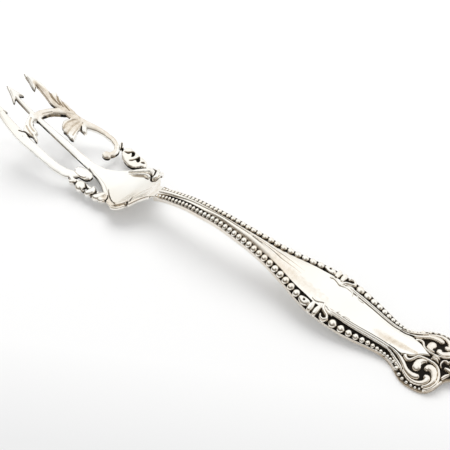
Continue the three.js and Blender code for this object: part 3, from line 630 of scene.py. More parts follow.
def draw_bowl(relief):
    place = (neck_x - relief.x) / head_length
    rows = np.array(bowl_outline_shares)
    low = head_half * along(rows[:, [0, 1]], place)
    high = head_half * along(rows[:, [0, 2]], place)
    in_low, in_high = relief.y - low, high - relief.y
    slope = np.hypot(1, np.gradient(low, relief.cell, axis=0))
    slope_high = np.hypot(1, np.gradient(high, relief.cell, axis=0))
    distance = np.minimum(in_low / slope, in_high / slope_high)
    distance = np.where((place < rows[-1, 0]) & (place > rows[0, 0]), distance, -99)
    across = np.clip((relief.y - (low + high) / 2) / ((high - low) / 2), -1, 1)
    hollow = bowl_hollow * along(hollow_shares, place)
    sink = hollow * (1 - across**2)
    blend = np.clip(1 - place / hollow_shares[1][0], 0, 1)
    blend = blend * blend * (3 - 2 * blend)
    depth = bowl_thickness + (neck_depth - bowl_thickness) * blend
    under = depth * (1 - across**2) + tine_depth * across**2
    soft = 0.25 * (1 - np.clip(distance / 0.35, 0, 1)) ** 2
    near = distance > -skirt_cells * relief.cell
    relief.top = np.where(distance > 0, np.maximum(relief.top, -sink - soft), relief.top)
    relief.skirt = np.where(near, np.maximum(relief.skirt, -0.25), relief.skirt)
    relief.back = np.where(near, np.minimum(relief.back, -under - sink), relief.back)
    relief.inside = np.maximum(relief.inside, distance)


def draw_bowl_rims(relief):
    near_rim = head([
        (0.44, -0.09), (0.4, -0.14), (0.345, -0.225), (0.29, -0.39), (0.255, -0.52), (0.22, -0.65),
        (0.185, -0.76), (0.145, -0.81), (0.115, -0.72),
    ])
    relief.ridge(near_rim, [0.25, 0.4, 0.5, 0.6, 0.66, 0.7, 0.75, 0.8, 0.7], 0.4, level=-0.1)
    far_rim = [(-99.2, 5.1), (-98.1, 5.8), (-96.9, 6.5), (-95.2, 7.35), (-93.8, 7.9), (-92.7, 7.7),
               (-91.8, 6.9), (-91.5, 6.1)]
    relief.ridge(far_rim, [0.1, 0.45, 0.65, 0.75, 0.8, 0.75, 0.55, 0.3],
                 [0.1, 0.4, 0.5, 0.55, 0.55, 0.55, 0.5, 0.3], level=-0.08)
    inner = [(-98.0, 4.6), (-97.3, 4.8), (-96.1, 5.3), (-94.9, 5.75), (-93.8, 6.0), (-92.8, 5.85),
             (-92.0, 5.4)]
    relief.ridge(inner, [0.08, 0.25, 0.36, 0.4, 0.42, 0.4, 0.25], [0.05, 0.25, 0.4, 0.42, 0.42, 0.42, 0.3],
                 level=-0.2)
    relief.ridge([(-90.3, 5.1), (-90.2, 5.7), (-90.4, 6.7), (-90.9, 7.6), (-91.2, 8.3)],
                 [0.5, 0.62, 0.62, 0.55, 0.45], 0.6)
    relief.ridge([(-89.6, 7.3), (-88.9, 6.9)], [0.8, 0.65], 0.3, level=-0.1)
    relief.ridge([(-92.6, -8.6), (-91.5, -7.5), (-90.3, -6.5)], [0.5, 0.6, 0.45], 0.8, level=0.05)
    relief.ridge([(-89.2, -6.9), (-88.4, -5.4), (-87.4, -4.2), (-85.6, -3.0)], [0.62, 0.62, 0.5, 0.25], 0.7)
    far_line = [
        (-98.9, 4.6), (-97.1, 5.4), (-95.6, 6.1), (-94.7, 6.5), (-93.8, 6.75), (-93.0, 6.6), (-92.0, 6.05),
        (-91.4, 5.5), (-91.1, 4.9), (-90.5, 4.35), (-89.7, 4.2), (-89.1, 4.65), (-88.95, 5.4), (-88.6, 6.1),
    ]
    near_line = [(-99.6, -3.2), (-98.5, -4.4), (-97.1, -5.7), (-95.6, -6.8), (-94.3, -7.3), (-92.8, -7.1),
                 (-91.4, -5.9)]
    for route, widths, depth, dark in (
        (far_line, [0.04, 0.1, 0.14, 0.17, 0.22, 0.28, 0.3, 0.32, 0.32, 0.28, 0.26, 0.24, 0.2, 0.1], 0.45,
         0.95),
        ([(-93.7, 5.25), (-92.9, 5.1), (-92.0, 4.8)], [0.1, 0.22, 0.16], 0.25, 0.8),
        ([(-93.1, 8.4), (-92.2, 8.2), (-91.7, 7.8), (-91.4, 7.1), (-91.2, 6.3), (-91.2, 5.7)],
         [0.12, 0.3, 0.34, 0.26, 0.18, 0.12], 0.5, 1),
        (near_line, [0.05, 0.12, 0.2, 0.25, 0.3, 0.28, 0.16], 0.35, 0.75),
        ([(-93.4, -9.1), (-91.9, -8.75), (-90.6, -7.6)], [0.1, 0.2, 0.14], 0.3, 0.6),
        ([(-89.4, -7.9), (-89.7, -6.9), (-90.1, -5.9), (-90.6, -4.6), (-90.9, -3.4)],
         [0.36, 0.34, 0.3, 0.2, 0.12], 0.45, 1),
        ([(-90.9, -3.5), (-90.9, -2.9), (-90.3, -1.1), (-89.3, 0.3), (-88.3, 1.5)],
         [0.16, 0.16, 0.14, 0.12, 0.05], 0.16, 0.45),
        ([(-89.9, -5.4), (-88.9, -4.5), (-87.6, -3.4)], [0.1, 0.16, 0.06], 0.12, 0.35),
    ):
        relief.groove(route, widths, depth, dark)
    # Painted shade: brown tint over the metal beside the bowl's rims
    relief.tone([(-90.5, -7.5), (-88.0, -3.5), (-87.0, 0.0), (-88.5, 3.5)], [2.5, 3.0, 3.5, 3.0], 0.16)
    relief.tone([(-98.0, -7.0), (-94.0, -8.5), (-90.0, -8.0), (-86.5, -4.0)], [1.4, 2.0, 2.0, 1.5], 0.2)


def draw_left_shell(relief):
    bar = head([(0.475, -0.62), (0.45, -0.66), (0.42, -0.6), (0.38, -0.565), (0.33, -0.585), (0.28, -0.57),
                (0.25, -0.62), (0.22, -0.7)])
    relief.ridge(bar, [0.5, 0.55, 0.5, 0.5, 0.5, 0.5, 0.55, 0.6], 0.35, depth=1.0)
    relief.ridge(head([(0.46, -0.72), (0.44, -0.7), (0.4, -0.72), (0.3, -0.74), (0.24, -0.72)]), 0.5, 0.1,
                 level=-0.35, depth=1.0)
    for route, widths, crown in (
        ([(-108.6, -8.4), (-108.2, -7.6)], [0.5, 0.55], 0.55),
        ([(-105.8, -8.0), (-106.0, -7.5), (-105.9, -7.0)], [1.2, 1.4, 1.25], 1.0),
        ([(-102.75, -8.3), (-102.5, -7.5), (-102.3, -6.6), (-102.6, -5.9)], [0.85, 1.0, 0.95, 0.6], 0.95),
        ([(-100.2, -8.3), (-99.7, -7.7), (-99.2, -6.8), (-98.7, -6.1)], [0.8, 1.1, 1.1, 0.8], 0.95),
        ([(-98.4, -7.9), (-97.6, -7.6)], [0.9, 0.7], 0.6),
    ):
        relief.ridge(route, widths, crown, depth=1.0)
    between = [0.1, 0.26, 0.32, 0.36, 0.34]
    fork_line = [0.2, 0.16, 0.07]
    for route, widths, depth, dark in (
        ([(-97.6, -5.8), (-96.9, -6.7), (-96.6, -7.6), (-96.6, -8.3)], [0.12, 0.24, 0.3, 0.3], 0.6, 1),
        ([(-107.5, -7.2), (-107.3, -7.9), (-107.2, -8.8)], [0.2, 0.32, 0.32], 0.8, 1),
        ([(-105.3, -6.2), (-104.6, -6.7), (-104.2, -7.3), (-104.0, -8.2), (-103.9, -9.1)], between, 0.8, 1),
        ([(-102.0, -5.3), (-101.4, -6.2), (-101.1, -7.3), (-101.15, -8.2), (-101.3, -9.0)], between, 0.8,
         1),
        ([(-99.3, -8.9), (-98.1, -8.95), (-97.0, -8.8), (-96.4, -8.3)], [0.1, 0.22, 0.28, 0.25], 0.8, 1),
        ([(-104.0, -8.2), (-104.5, -8.5), (-105.3, -8.5)], fork_line, 0.35, 0.9),
        ([(-103.8, -7.5), (-103.2, -6.9), (-103.05, -6.1)], fork_line, 0.35, 0.9),
        ([(-100.7, -7.2), (-100.4, -6.7), (-100.3, -6.1)], fork_line, 0.35, 0.9),
    ):
        relief.groove(route, widths, depth, dark)


def draw_right_shell(relief):
    relief.plate([
        (-105.4, 9.9), (-105.0, 9.0), (-103.5, 7.8), (-101.8, 7.0), (-100.2, 6.7), (-98.8, 6.95),
        (-97.9, 7.6), (-97.2, 7.9), (-96.2, 8.0), (-95.9, 8.7), (-96.6, 9.8), (-97.5, 10.5), (-98.8, 11.0),
        (-100.2, 11.3), (-101.9, 11.7), (-103.4, 12.1), (-104.7, 11.9), (-105.4, 11.1),
    ], 0.6, depth=1.0, edge=1.1)
    relief.pit([
        (-104.8, 9.9), (-103.75, 9.75), (-103.1, 10.0), (-102.8, 10.6), (-102.3, 10.1), (-101.9, 9.5),
        (-101.4, 10.1), (-101.7, 10.9), (-102.4, 11.5), (-103.2, 11.1), (-103.8, 10.5),
    ], 0.8, edge=0.2)
    relief.pit([
        (-101.7, 8.1), (-100.8, 8.3), (-100.2, 9.1), (-99.7, 9.0), (-99.1, 8.7), (-98.7, 9.2), (-99.1, 9.9),
        (-99.7, 10.6), (-100.2, 10.9), (-100.3, 10.2), (-100.7, 9.4), (-101.2, 8.8),
    ], 0.8, edge=0.2)
    relief.pit([(-98.3, 9.2), (-97.5, 8.9), (-96.8, 9.2), (-97.5, 9.7)], 0.4, 0.8)
    relief.groove([(-105.9, 9.9), (-105.9, 10.8), (-105.6, 11.8)], 0.22, 0.5, 1)


head_map = Relief((tip_x - 0.4, -head_half - 0.6), (neck_x + 0.4, 13), head_cell)
for draw in (
    draw_bowl, draw_centre_tine, draw_left_bridge, draw_right_bridge, draw_left_tine, draw_right_tine,
    draw_left_shell, draw_right_shell, draw_bowl_rims,
):
    draw(head_map)
head_map.finish(recess_gain=1.2)

# Places where the head is divided, as shares of its length from the neck
bridge_start_share = 0.87
bridge_end_share = 0.69
bowl_tine_share = 0.475
left_shell_share = 0.435
right_shell_share = 0.388
curl_end_share = 0.385
shell_end_share = 0.256
# Limits of its regions, in millimetres from its middle line
centre_reach = 2.3
right_reach = 2.0
leaf_tip_reach = 1.8
leaf_tip_run = 2
far = 60.0

division = head([(share, 0) for share in (
    bridge_start_share, bridge_end_share, bowl_tine_share, left_shell_share, right_shell_share,
    curl_end_share, shell_end_share,
)])
bridge_start, bridge_end, bowl_tine_x, left_shell_start, right_shell_start, curl_end, shell_end = (
    x for x, _ in division
)
beside_centre = centre_half * 1.15
left_joint = -0.555 * head_half
right_joint = 0.54 * head_half
left_bridge_map = box_map(head_map, bridge_start, bridge_end, left_joint, -beside_centre)
right_bridge_map = box_map(head_map, bridge_start, bridge_end, beside_centre, right_joint)
left_shell_map = np.minimum(
    box_map(head_map, left_shell_start, shell_end, -far, 0),
    -side_map(head_map, *head([(left_shell_share, -0.49), (shell_end_share, -0.55)])),
)
right_shell_map = np.minimum(
    box_map(head_map, right_shell_start, shell_end, 0, far),
    side_map(head_map, *head([(right_shell_share, 0.36), (shell_end_share, 0.66)])),
)
bridges_map = np.maximum(left_bridge_map, right_bridge_map)
left_of_bowl = np.minimum(
    -side_map(head_map, *head([(0.52, -0.14), (curl_end_share, -0.19)])), curl_end - head_map.x,
)
right_of_bowl = np.minimum(right_shell_start - head_map.x, head_map.y - 0.3 * head_half)
before_bowl = bowl_tine_x - head_map.x
centre_map = np.minimum(np.minimum(before_bowl, centre_reach - np.abs(head_map.y)), -bridges_map)
left_map = np.minimum(
    np.minimum(np.maximum(left_of_bowl, left_shell_start - head_map.x), -centre_reach - head_map.y),
    np.minimum(-left_shell_map, -left_bridge_map),
)
curl_map = np.minimum(left_of_bowl, head_map.x - bowl_tine_x)
left_map = np.maximum(left_map, np.minimum(curl_map, -left_shell_map))
left_map = np.minimum(left_map, np.maximum(left_shell_start - head_map.x, left_of_bowl))
right_map = np.minimum(
    np.minimum(right_of_bowl, head_map.y - right_reach), np.minimum(-right_shell_map, -right_bridge_map),
)
leaf_tips = box_map(head_map, bridge_end, bowl_tine_x - leaf_tip_run, leaf_tip_reach, far)
right_map = np.maximum(right_map, leaf_tips)
centre_map = np.minimum(centre_map, -leaf_tips)
bowl_map = np.minimum.reduce([
    -left_shell_map, -right_shell_map, -centre_map, -left_map, -right_map, -bridges_map,
    head_map.x - bowl_tine_x, neck_x - head_map.x,
])

head_regions = {
    "bowl": bowl_map, "centre_tine": centre_map, "left_tine": left_map, "right_tine": right_map,
    "left_bridge": left_bridge_map, "right_bridge": right_bridge_map, "left_root_shell": left_shell_map,
    "right_root_shell": right_shell_map,
}
pieces, replaced = {}, {}
for node, region in head_regions.items():
    name = node + "_relief"
    pieces[name] = head_map.piece(name, region)
    replaced[name] = node


# Handle


# What fades or grows along the handle: share of the way from the neck, value there
neck_rows = [(0.0025, 0.1), (0.025, 1)]
crease_rows = [(0.1, 0), (0.18, 1), (0.46, 1), (0.56, 0)]
moulding_rows = [(0.665, 0), (0.685, 1)]
# Painted shade on the handle's side walls, darker towards the waist
wall_shade_rows = [(0.7, 0.2), (0.85, 0.4)]
# Tarnish and painted shade on the ground beside the beads, lighter at the neck
ground_shade_rows = [(0, 0.3), (0.07, 1)]
# Share of the way out from the flat belly to the edge, for each line of the rounded back
back_places = (0.25, 0.5, 0.7, 0.85, 0.95, 1)
# Mouldings beside the panel's edge: how far in from it the middle of each lies, and its half width
mouldings = [(0.3, 0.2), (0.84, 0.22)]
moulding_places = (-1.15, -0.85, -0.5, 0, 0.5, 0.85, 1.15)
moulding_groove = 0.12
moulding_end = 1.2
line_wide = 0.14
line_shade = 0.95
plain_from = 1.5
crease_depth = 0.1
# How much lower at its edge, and wider, the plain panel is than the sheet: millimetres at shares of the way
panel_fall = [
    (0, 0), (0.04, -0.2), (0.07, -0.15), (0.12, 0), (0.17, 0.1), (0.23, 0.45), (0.29, 0.6), (0.35, 0.75),
    (0.41, 0.65), (0.47, 0.42), (0.53, 0.3), (0.59, 0.05), (0.65, 0), (0.7, -0.15), (0.76, 0.05),
    (0.82, 0.15), (0.87, 0),
]
panel_spread = [
    (0, 0), (0.22, 0), (0.29, 0.1), (0.35, 0.32), (0.41, 0.2), (0.47, 0), (0.53, 0), (0.58, -0.3),
    (0.64, -0.4), (0.71, -0.4), (0.77, -0.28), (0.82, -0.2), (0.87, -0.1),
]
bead_sink_shares = [(0, 0.8), (0.15, 0.65), (0.25, 0.48), (0.5, 0.5), (0.6, 0.7), (0.75, 0.8), (0.87, 0.95),
                    (1, 1)]
row_shift = [(0, 0), (0.8, 0), (0.85, 0.2), (0.89, 0.45), (0.92, 0.7)]
edge_pull = [(0, 0), (0.15, 0.05), (0.25, 0.2), (0.35, 0.3), (0.5, 0.3), (0.6, 0.1), (0.7, 0.05), (0.8, 0),
             (0.87, 0)]
crease_at = 0.6

# Painted reflection: faint tan streaks on the handle in place of a warm reflection in its polish: y of the
# middle at x, strength at x, half width
painted_reflection_streaks = [
    ([(-62, -0.8), (-45, -2.0), (-35, -2.4), (-24, -2.2)], [(-62, 0), (-54, 0.17), (-34, 0.17), (-26, 0)],
     1.6),
    ([(-17, -2.1), (-11, -1.9)], [(-17.5, 0), (-14, 0.28), (-11, 0.3)], 1.15),
]


def bead_row_of(x):
    return row_of(x) + along(row_shift, handle_share(x))


def crown_fall(x, y):
    """How far the crowned sheet has fallen at y beyond its fall at the bead row."""
    fall = crown_drop * along(row_drop_shares, handle_share(x))
    return fall * np.maximum((y / row_of(x)) ** 2 - 1, 0)


def handle_profile(x):
    """Half of the section over the handle at places along it, as columns of (y, z, tarnish)."""
    place = handle_share(x)
    edge = edge_of(x) - along(edge_pull, place)
    bead, row, panel = bead_of(x), bead_row_of(x), panel_of(x)
    depth = handle_depth + (neck_depth - handle_depth) * along(depth_shares, place)
    sink = bead * along(bead_sink_shares, place)
    neck = ramp(neck_rows, place)
    floor = (sink + 0.15 * bead) * neck
    fall = along(panel_fall, place)
    panel = panel + along(panel_spread, place)
    crest = shank_crest * along(crest_shares, place)
    crease = ramp(crease_rows, place)
    on = ramp(moulding_rows, place)
    moulding = moulding_crown * on
    zero = 0 * x
    wall = ramp(wall_shade_rows, place)
    ground = ramp(ground_shade_rows, place)
    belly = edge * belly_share
    # Back, from the middle out to the edge, with painted shade growing up the side wall
    columns = [(zero, -depth, zero), (belly, -depth, zero)]
    for share in back_places:
        lean = math.sqrt(1 - (1 - share) ** 2)
        rise = (depth - handle_edge) * (1 - math.sqrt(1 - share**2))
        y = belly + (edge - belly) * lean
        columns.append((y, rise - depth + 0.85 * crown_fall(x, y), wall * share**4))
    lifted = crown_fall(x, edge)
    lip = lifted - (sink + 0.2 * bead) * neck
    outer = np.minimum(row + bead, edge - 0.3)
    # Lip of the border, the ground under its beads, and the step up to the panel, with painted shade on the
    # lip's wall and tarnish with painted shade on the ground and the step
    columns += [
        (edge, lip - 0.28, wall), (edge - 0.03, lip - 0.06, wall), (edge - 0.1, lip, zero),
        (edge - 0.18, lip, ground * 0.3), (edge - 0.25, lip - 0.08, ground * 0.8),
        (outer, crown_fall(x, outer) - floor - 0.3 * bead, ground), (row, -floor, ground),
        (np.maximum(row - 0.9 * bead, panel + 0.05), -floor, ground),
        (panel + 0.04, -floor * 0.6 - fall * 0.4, ground),
        (panel + 0.02, -0.12 - fall, ground * 0.85), (panel, -0.03 - fall, zero + 0.3),
        (panel - 0.06, -fall, zero),
    ]
    # Mouldings beside the panel's edge, and the dark line after them
    for centre, half in mouldings:
        for share in moulding_places:
            rise = moulding * math.sqrt(max(1 - share**2, 0)) if abs(share) < 1 else -moulding_groove * on
            shade = line_shade * on if abs(share) > 1 else zero
            y = panel - np.minimum(centre + share * half, 0.9 * panel)
            columns.append((y, rise - fall * (y / panel) ** 2, shade + zero))
    for inset, shade in ((moulding_end, line_shade * on), (moulding_end + line_wide, zero)):
        y = panel - np.minimum(inset, 0.91 * panel)
        columns.append((y, -fall * (y / panel) ** 2, shade + zero))
    # Plain panel in to the middle, with the crest and the creases beside it on the shank; the creases are
    # darkened and the crest between them tinted tan, both as painted shade
    inner = np.maximum(panel - plain_from, 0.1 * panel - 0.01)
    near = np.minimum(crease_at, 0.6 * inner)
    rows = [inner + (near - inner) * share for share in (0.2, 0.4, 0.6, 0.8)]
    for y in rows + [near * share for share in (1.5, 1.25, 1.1, 1, 0.9, 0.75, 0.35, 0)]:
        rise = crest * np.clip(1 - (y / np.maximum(row, 0.1)) ** 2, 0, 1) ** 2
        line = np.clip(1.3 - np.abs(y / near - 1) / 0.2, 0, 1) * crease
        crest_shade = 0.2 * crease * np.clip((1.1 - y / near) * 5, 0, 1)
        z = rise - crease_depth * line - fall * (y / panel) ** 2
        columns.append((y, z, np.maximum(0.7 * line, crest_shade)))
    return [tuple(zero + value for value in column) for column in columns]


def strip_mesh(name, start, end, step, profile):
    """Closed strip over the handle between two planes across it, from a profile of its half section."""
    count = max(int((end - start) / step), 2)
    x = np.linspace(start, end, count + 1)
    half = profile(x)
    y = np.stack([column[0] for column in half], 1)
    z = np.stack([column[1] for column in half], 1)
    shade = np.stack([column[2] for column in half], 1)
    y = np.concatenate([y, -y[:, -2:0:-1]], 1)
    z = np.concatenate([z, z[:, -2:0:-1]], 1)
    shade = np.concatenate([shade, shade[:, -2:0:-1]], 1)
    # Painted reflection: tan streaks laid over the top of the handle
    for middle, strength, wide in painted_reflection_streaks:
        painted_streak = along(strength, x)[:, None] * np.exp(-((y - along(middle, x)[:, None]) / wide) ** 2)
        shade = np.maximum(shade, painted_streak * (z > -0.9))
    around = y.shape[1]
    points = to_frame(np.repeat(x[:, None], around, 1), y, z).reshape(-1, 3)
    index = np.arange(len(points)).reshape(-1, around)
    following = np.roll(index, -1, axis=1)
    sides = np.stack([index[:-1], index[1:], following[1:], following[:-1]], -1).reshape(-1, 4)
    half_count = len(half)
    cap_left = np.arange(1, half_count - 1)
    faces = [sides]
    for ring, turn in ((index[0], 1), (index[-1], -1)):
        mirror = ring[(around - cap_left) % around]
        ladder = [np.array([[ring[0], ring[1], mirror[0]]])]
        for k in range(len(cap_left) - 1):
            ladder.append(np.array([[ring[cap_left[k]], ring[cap_left[k + 1]], mirror[k + 1], mirror[k]]]))
        ladder.append(np.array([[ring[cap_left[-1]], ring[half_count - 1], mirror[-1]]]))
        faces += [face[:, ::turn] for face in ladder]
    flat = shade.ravel()
    tarnish_and_shade = np.concatenate([flat[face].ravel() for face in faces])
    return plain_mesh(name, points, faces, tarnish_and_shade, crease=40)


panel_start = neck_x + panel_start_share * shank_length
clip_start = neck_x + clip_start_share * shank_length
clip_end = neck_x + clip_end_share * shank_length
pieces["shank_body"] = strip_mesh("shank_body", neck_x, panel_start, 0.3, handle_profile)
pieces["panel_body"] = strip_mesh("panel_body", panel_start, waist_x, 0.3, handle_profile)
replaced["shank_body"] = "shank"
replaced["panel_body"] = "panel"


# Beads


bead_growth = [(-90, 1), (-29.5, 1), (-27, 1.2), (-24, 1.16), (-20, 1.06), (-15, 1), (-6, 0.95)]


def bead_size(x):
    return bead_of(x) * along(bead_growth, x)


def bead_places(start, end):
    """Beads laid one against the next along the border, growing and shrinking with it, to its very end."""
    places = []
    x = start + float(bead_size(start))
    while x <= end:
        places.append(x)
        x += 2 * float(bead_size(x)) + bead_play
    places = np.array(places)
    last = end - float(bead_size(end))
    return places[0] + (places - places[0]) * (last - places[0]) / (places[-1] - places[0])


def bead_tree():
    """Geometry Nodes: a ball on every point, turned and scaled as the point says, with painted shade
    darkening its foot.
    """
    tree = bpy.data.node_groups.new("bead_row", "GeometryNodeTree")
    face = tree.interface
    face.new_socket("Geometry", in_out="INPUT", socket_type="NodeSocketGeometry")
    keys = {}
    for label, kind in (("Sides", "Int"), ("Rings", "Int"), ("Finish", "Material")):
        keys[label] = face.new_socket(label, in_out="INPUT", socket_type="NodeSocket" + kind).identifier
    face.new_socket("Geometry", in_out="OUTPUT", socket_type="NodeSocketGeometry")
    given = tree.nodes.new("NodeGroupInput").outputs
    sphere = {"Radius": 1, "Segments": given["Sides"], "Rings": given["Rings"]}
    ball = add(tree, "GeometryNodeMeshUVSphere", sphere)["Mesh"]
    height = add(tree, "ShaderNodeSeparateXYZ", {0: add(tree, "GeometryNodeInputPosition")[0]})["Z"]
    # Painted shade: the foot of each ball darkens
    foot = add(tree, "ShaderNodeMapRange", {"From Min": 0.4, "From Max": -0.15, "Value": height})["Result"]
    shade = add(tree, "GeometryNodeStoreNamedAttribute",
                {"Name": "tarnish_and_shade", "Geometry": ball, "Value": foot},
                {"data_type": "FLOAT", "domain": "CORNER"})
    smooth = add(tree, "GeometryNodeSetShadeSmooth", {"Geometry": shade[0]})
    vector = {"data_type": "FLOAT_VECTOR"}
    size = add(tree, "GeometryNodeInputNamedAttribute", {"Name": "size"}, vector)["Attribute"]
    turn = add(tree, "GeometryNodeInputNamedAttribute", {"Name": "turn"}, vector)["Attribute"]
    heading = add(tree, "FunctionNodeEulerToRotation", {0: turn})
    spread = add(tree, "GeometryNodeInstanceOnPoints", {
        "Points": given["Geometry"], "Instance": smooth[0], "Scale": size, "Rotation": heading[0],
    })
    real = add(tree, "GeometryNodeRealizeInstances", {0: spread[0]})
    paint = add(tree, "GeometryNodeSetMaterial", {"Geometry": real[0], "Material": given["Finish"]})
    add(tree, "NodeGroupOutput", {0: paint[0]})
    return tree, keys


bead_nodes, bead_keys = bead_tree()
ball_sides = 20
ball_rings = 14


def grown(name, points, sizes, turns, finish):
    """Plain mesh of the balls that the Geometry Nodes set on points, in metres."""
    mesh = bpy.data.meshes.new(name + "_points")
    mesh.from_pydata([tuple(point) for point in points], [], [])
    for label, values in (("size", sizes), ("turn", turns)):
        attribute = mesh.attributes.new(label, "FLOAT_VECTOR", "POINT")
        attribute.data.foreach_set("vector", np.asarray(values, np.float32).ravel())
    seed = in_scene(name + "_points", mesh)
    modifier = seed.modifiers.new("beads", "NODES")
    modifier.node_group = bead_nodes
    modifier[bead_keys["Sides"]] = ball_sides
    modifier[bead_keys["Rings"]] = ball_rings
    modifier[bead_keys["Finish"]] = finish
    graph = bpy.context.evaluated_depsgraph_get()
    grown_mesh = bpy.data.meshes.new_from_object(seed.evaluated_get(graph), depsgraph=graph)
    bpy.data.objects.remove(seed)
    grown_mesh.name = name
    return in_scene(name, grown_mesh)


# Terminal


def mirrored(points, side):
    return [(x, side * abs(y)) for x, y in points]


lobe_swell = 0.13
# Painted shade: a brown tint over the lobes
lobe_shade_tint = 0.15
# Painted shade on the terminal's near walls
terminal_wall_shade = 0.35
terminal_edge = [
    (-12.2, -6.1), (-10.9, -6.0), (-9.1, -6.35), (-7.3, -7.35), (-5.4, -8.6), (-3.75, -9.3), (-1.8, -9.55),
    (0, -9.5), (1.8, -9.0), (3.0, -8.0), (3.9, -6.3), (4.6, -4.4), (5.6, -3.2), (6.8, -1.9), (7.3, 0),
]


def draw_terminal(relief):
    outline = terminal_edge + [(x, -y) for x, y in reversed(terminal_edge[:-1])]
    box, distance = relief.fill(outline)
    edge_soft = 0.12 * (1 - np.clip(distance / 0.3, 0, 1)) ** 2
    relief.lay(box, distance, -ground_sink - edge_soft, -ground_sink - 0.12, terminal_depth)
    tongue = [(-14, -3.6), (-10, -3.45), (-7.6, -3.6), (-6.7, -3.2), (-5.2, -2.7), (-4.2, -1.9),
              (-3.2, -1.0), (-2.2, -0.4), (-1.5, 0)]
    whole = tongue + [(x, -y) for x, y in reversed(tongue[:-1])]
    relief.plate(whole, ground_sink, level=-ground_sink, depth=None, edge=0.35)
    for side in (-1, 1):

        def lobe(points, widths, crown=0.8):
            wide = [width + lobe_swell for width in widths] if isinstance(widths, list) else widths
            relief.ridge(mirrored(points, side), wide, crown, -ground_sink, None, 0.4)

        lobe([(-14, 4.15), (-12, 4.1), (-11, 4.1), (-9.6, 4.55), (-8.1, 5.3), (-6.8, 5.98), (-5.8, 6.6),
              (-5.3, 7.1)],
             [0.1, 0.1, 0.1, 0.16, 0.24, 0.28, 0.22, 0.08], 0.92)
        lobe([(-14, 3.6), (-12, 3.56), (-11, 3.55), (-9.3, 3.72), (-7.5, 4.35), (-6.4, 5.0), (-5.5, 5.62),
              (-4.7, 6.25), (-3.8, 6.7), (-2.9, 6.92), (-2, 6.9), (-1.3, 6.72)],
             [0.12, 0.12, 0.12, 0.2, 0.36, 0.46, 0.5, 0.52, 0.54, 0.58, 0.62, 0.55], 0.94)
        for route in ([(-12, 3.86), (-11, 3.86), (-9.8, 4.1), (-8.6, 4.6), (-7.4, 5.2), (-6.2, 5.95)],
                      [(-12, 3.28), (-11, 3.27), (-10, 3.28), (-9.1, 3.38), (-8.2, 3.72), (-7.4, 4.0)]):
            relief.groove(mirrored(route, side), [0.19, 0.19, 0.19, 0.19, 0.17, 0.08], 0.14, 1)
        lobe([(0.5, 5.65), (0.95, 5.7), (1.1, 6.3), (0.85, 6.95), (0.3, 7.55), (-0.5, 7.98), (-1.6, 8.18),
              (-2.7, 8.02), (-3.8, 7.6), (-5, 6.95)],
             [0.48, 0.58, 0.6, 0.54, 0.45, 0.38, 0.3, 0.26, 0.22, 0.12])
        low = 0.42 * (side < 0)
        lobe([(-6.45, 3.45), (-5.9, 3.85), (-5.2, 3.85), (-4.6, 3.3), (-4.05, 2.3), (-3.5, 1.6 + low / 3),
              (-2.7, 1.2 + low * 0.8), (-1.6, 0.98 + low), (-0.5, 0.98 + low), (0.6, 1.35 + low / 2),
              (1.65, 2.1), (2.5, 3), (3.1, 4.2), (3.35, 5.5), (3.1, 6.8), (2.5, 7.9), (1.7, 8.7)],
             [0.4, 0.36, 0.32, 0.28, 0.25, 0.25, 0.25, 0.24, 0.24, 0.24, 0.25, 0.26, 0.28, 0.28, 0.26, 0.24,
              0.2], 0.75)
        lobe([(-1.35, 2.0 + low / 3), (-2.05, 2.15 + low / 3), (-2.6, 2.85), (-2.82, 3.65), (-2.68, 4.45)],
             [0.12, 0.45, 0.72, 0.88, 1.0], 0.85)
        lobe([(-0.35, 3.55), (-0.1, 3.1), (0.55, 3.02), (1.3, 3.42), (1.95, 4.25), (2.35, 5.1), (2.45, 6),
              (2.15, 7), (1.7, 7.7), (1, 8.25)],
             [0.62, 0.74, 0.78, 0.78, 0.7, 0.58, 0.44, 0.34, 0.26, 0.12], 0.85)
        lobe([(4.75, 2.35), (4.2, 3.1), (3.9, 3.95)], [0.2, 0.34, 0.26], 0.7)
        lobe([(4.15, 4.9), (3.8, 6.2), (3.2, 7.4), (2.4, 8.5)], [0.2, 0.28, 0.26, 0.12], 0.6)
        lobe([(-13, 5.75), (-11.5, 5.65), (-9.6, 5.95), (-8, 6.65), (-6.9, 7.5)], 0.16, 0.3)
    for route, widths in (
        ([(-0.8, -0.66), (-0.15, -0.2), (0.5, -0.34), (1.15, -0.85)], [0.2, 0.36, 0.34, 0.1]),
        ([(-0.85, 0.05), (-0.3, 0.46), (0.4, 0.42), (1.05, 0.15)], [0.2, 0.34, 0.32, 0.1]),
        ([(2.5, -1.75), (1.95, -1.2), (1.75, -0.3), (2.0, 0.45), (2.55, 0.8), (3.0, 0.6)],
         [0.08, 0.22, 0.3, 0.36, 0.5, 0.5]),
    ):
        relief.ridge(route, widths, 0.85, -ground_sink, None)
    for side in (-1, 1):
        relief.ridge(mirrored([(3.25, 1.3), (3.9, 1.2), (4.8, 1.3), (5.6, 1.6)], side),
                     [0.35, 0.55, 0.6, 0.55], 0.85, -ground_sink, None)
    relief.ridge([(3.9, 0), (5.1, 0), (6.4, 0)], [0.2, 0.45, 0.55], 0.82, -ground_sink, None)


terminal_map = Relief((waist_x - 0.5, -terminal_half - 0.3), (terminal_reach + 0.3, terminal_half + 0.3),
                      terminal_cell)
draw_terminal(terminal_map)
terminal_map.finish(roll=0.8, recess_reach=0.42, recess_gain=2.9)
terminal_map.blacken(below=-0.48, reach=0.14)
terminal_map.dark *= np.clip(0.45 + terminal_map.inside / 1.6, 0, 1)
# Painted shade: brown tint over the lobes
on_lobes = np.abs(terminal_map.y) > 3.3 + np.clip(terminal_map.x + 6, -1, 9) * -0.75
terminal_map.dark = np.maximum(terminal_map.dark, lobe_shade_tint * on_lobes)
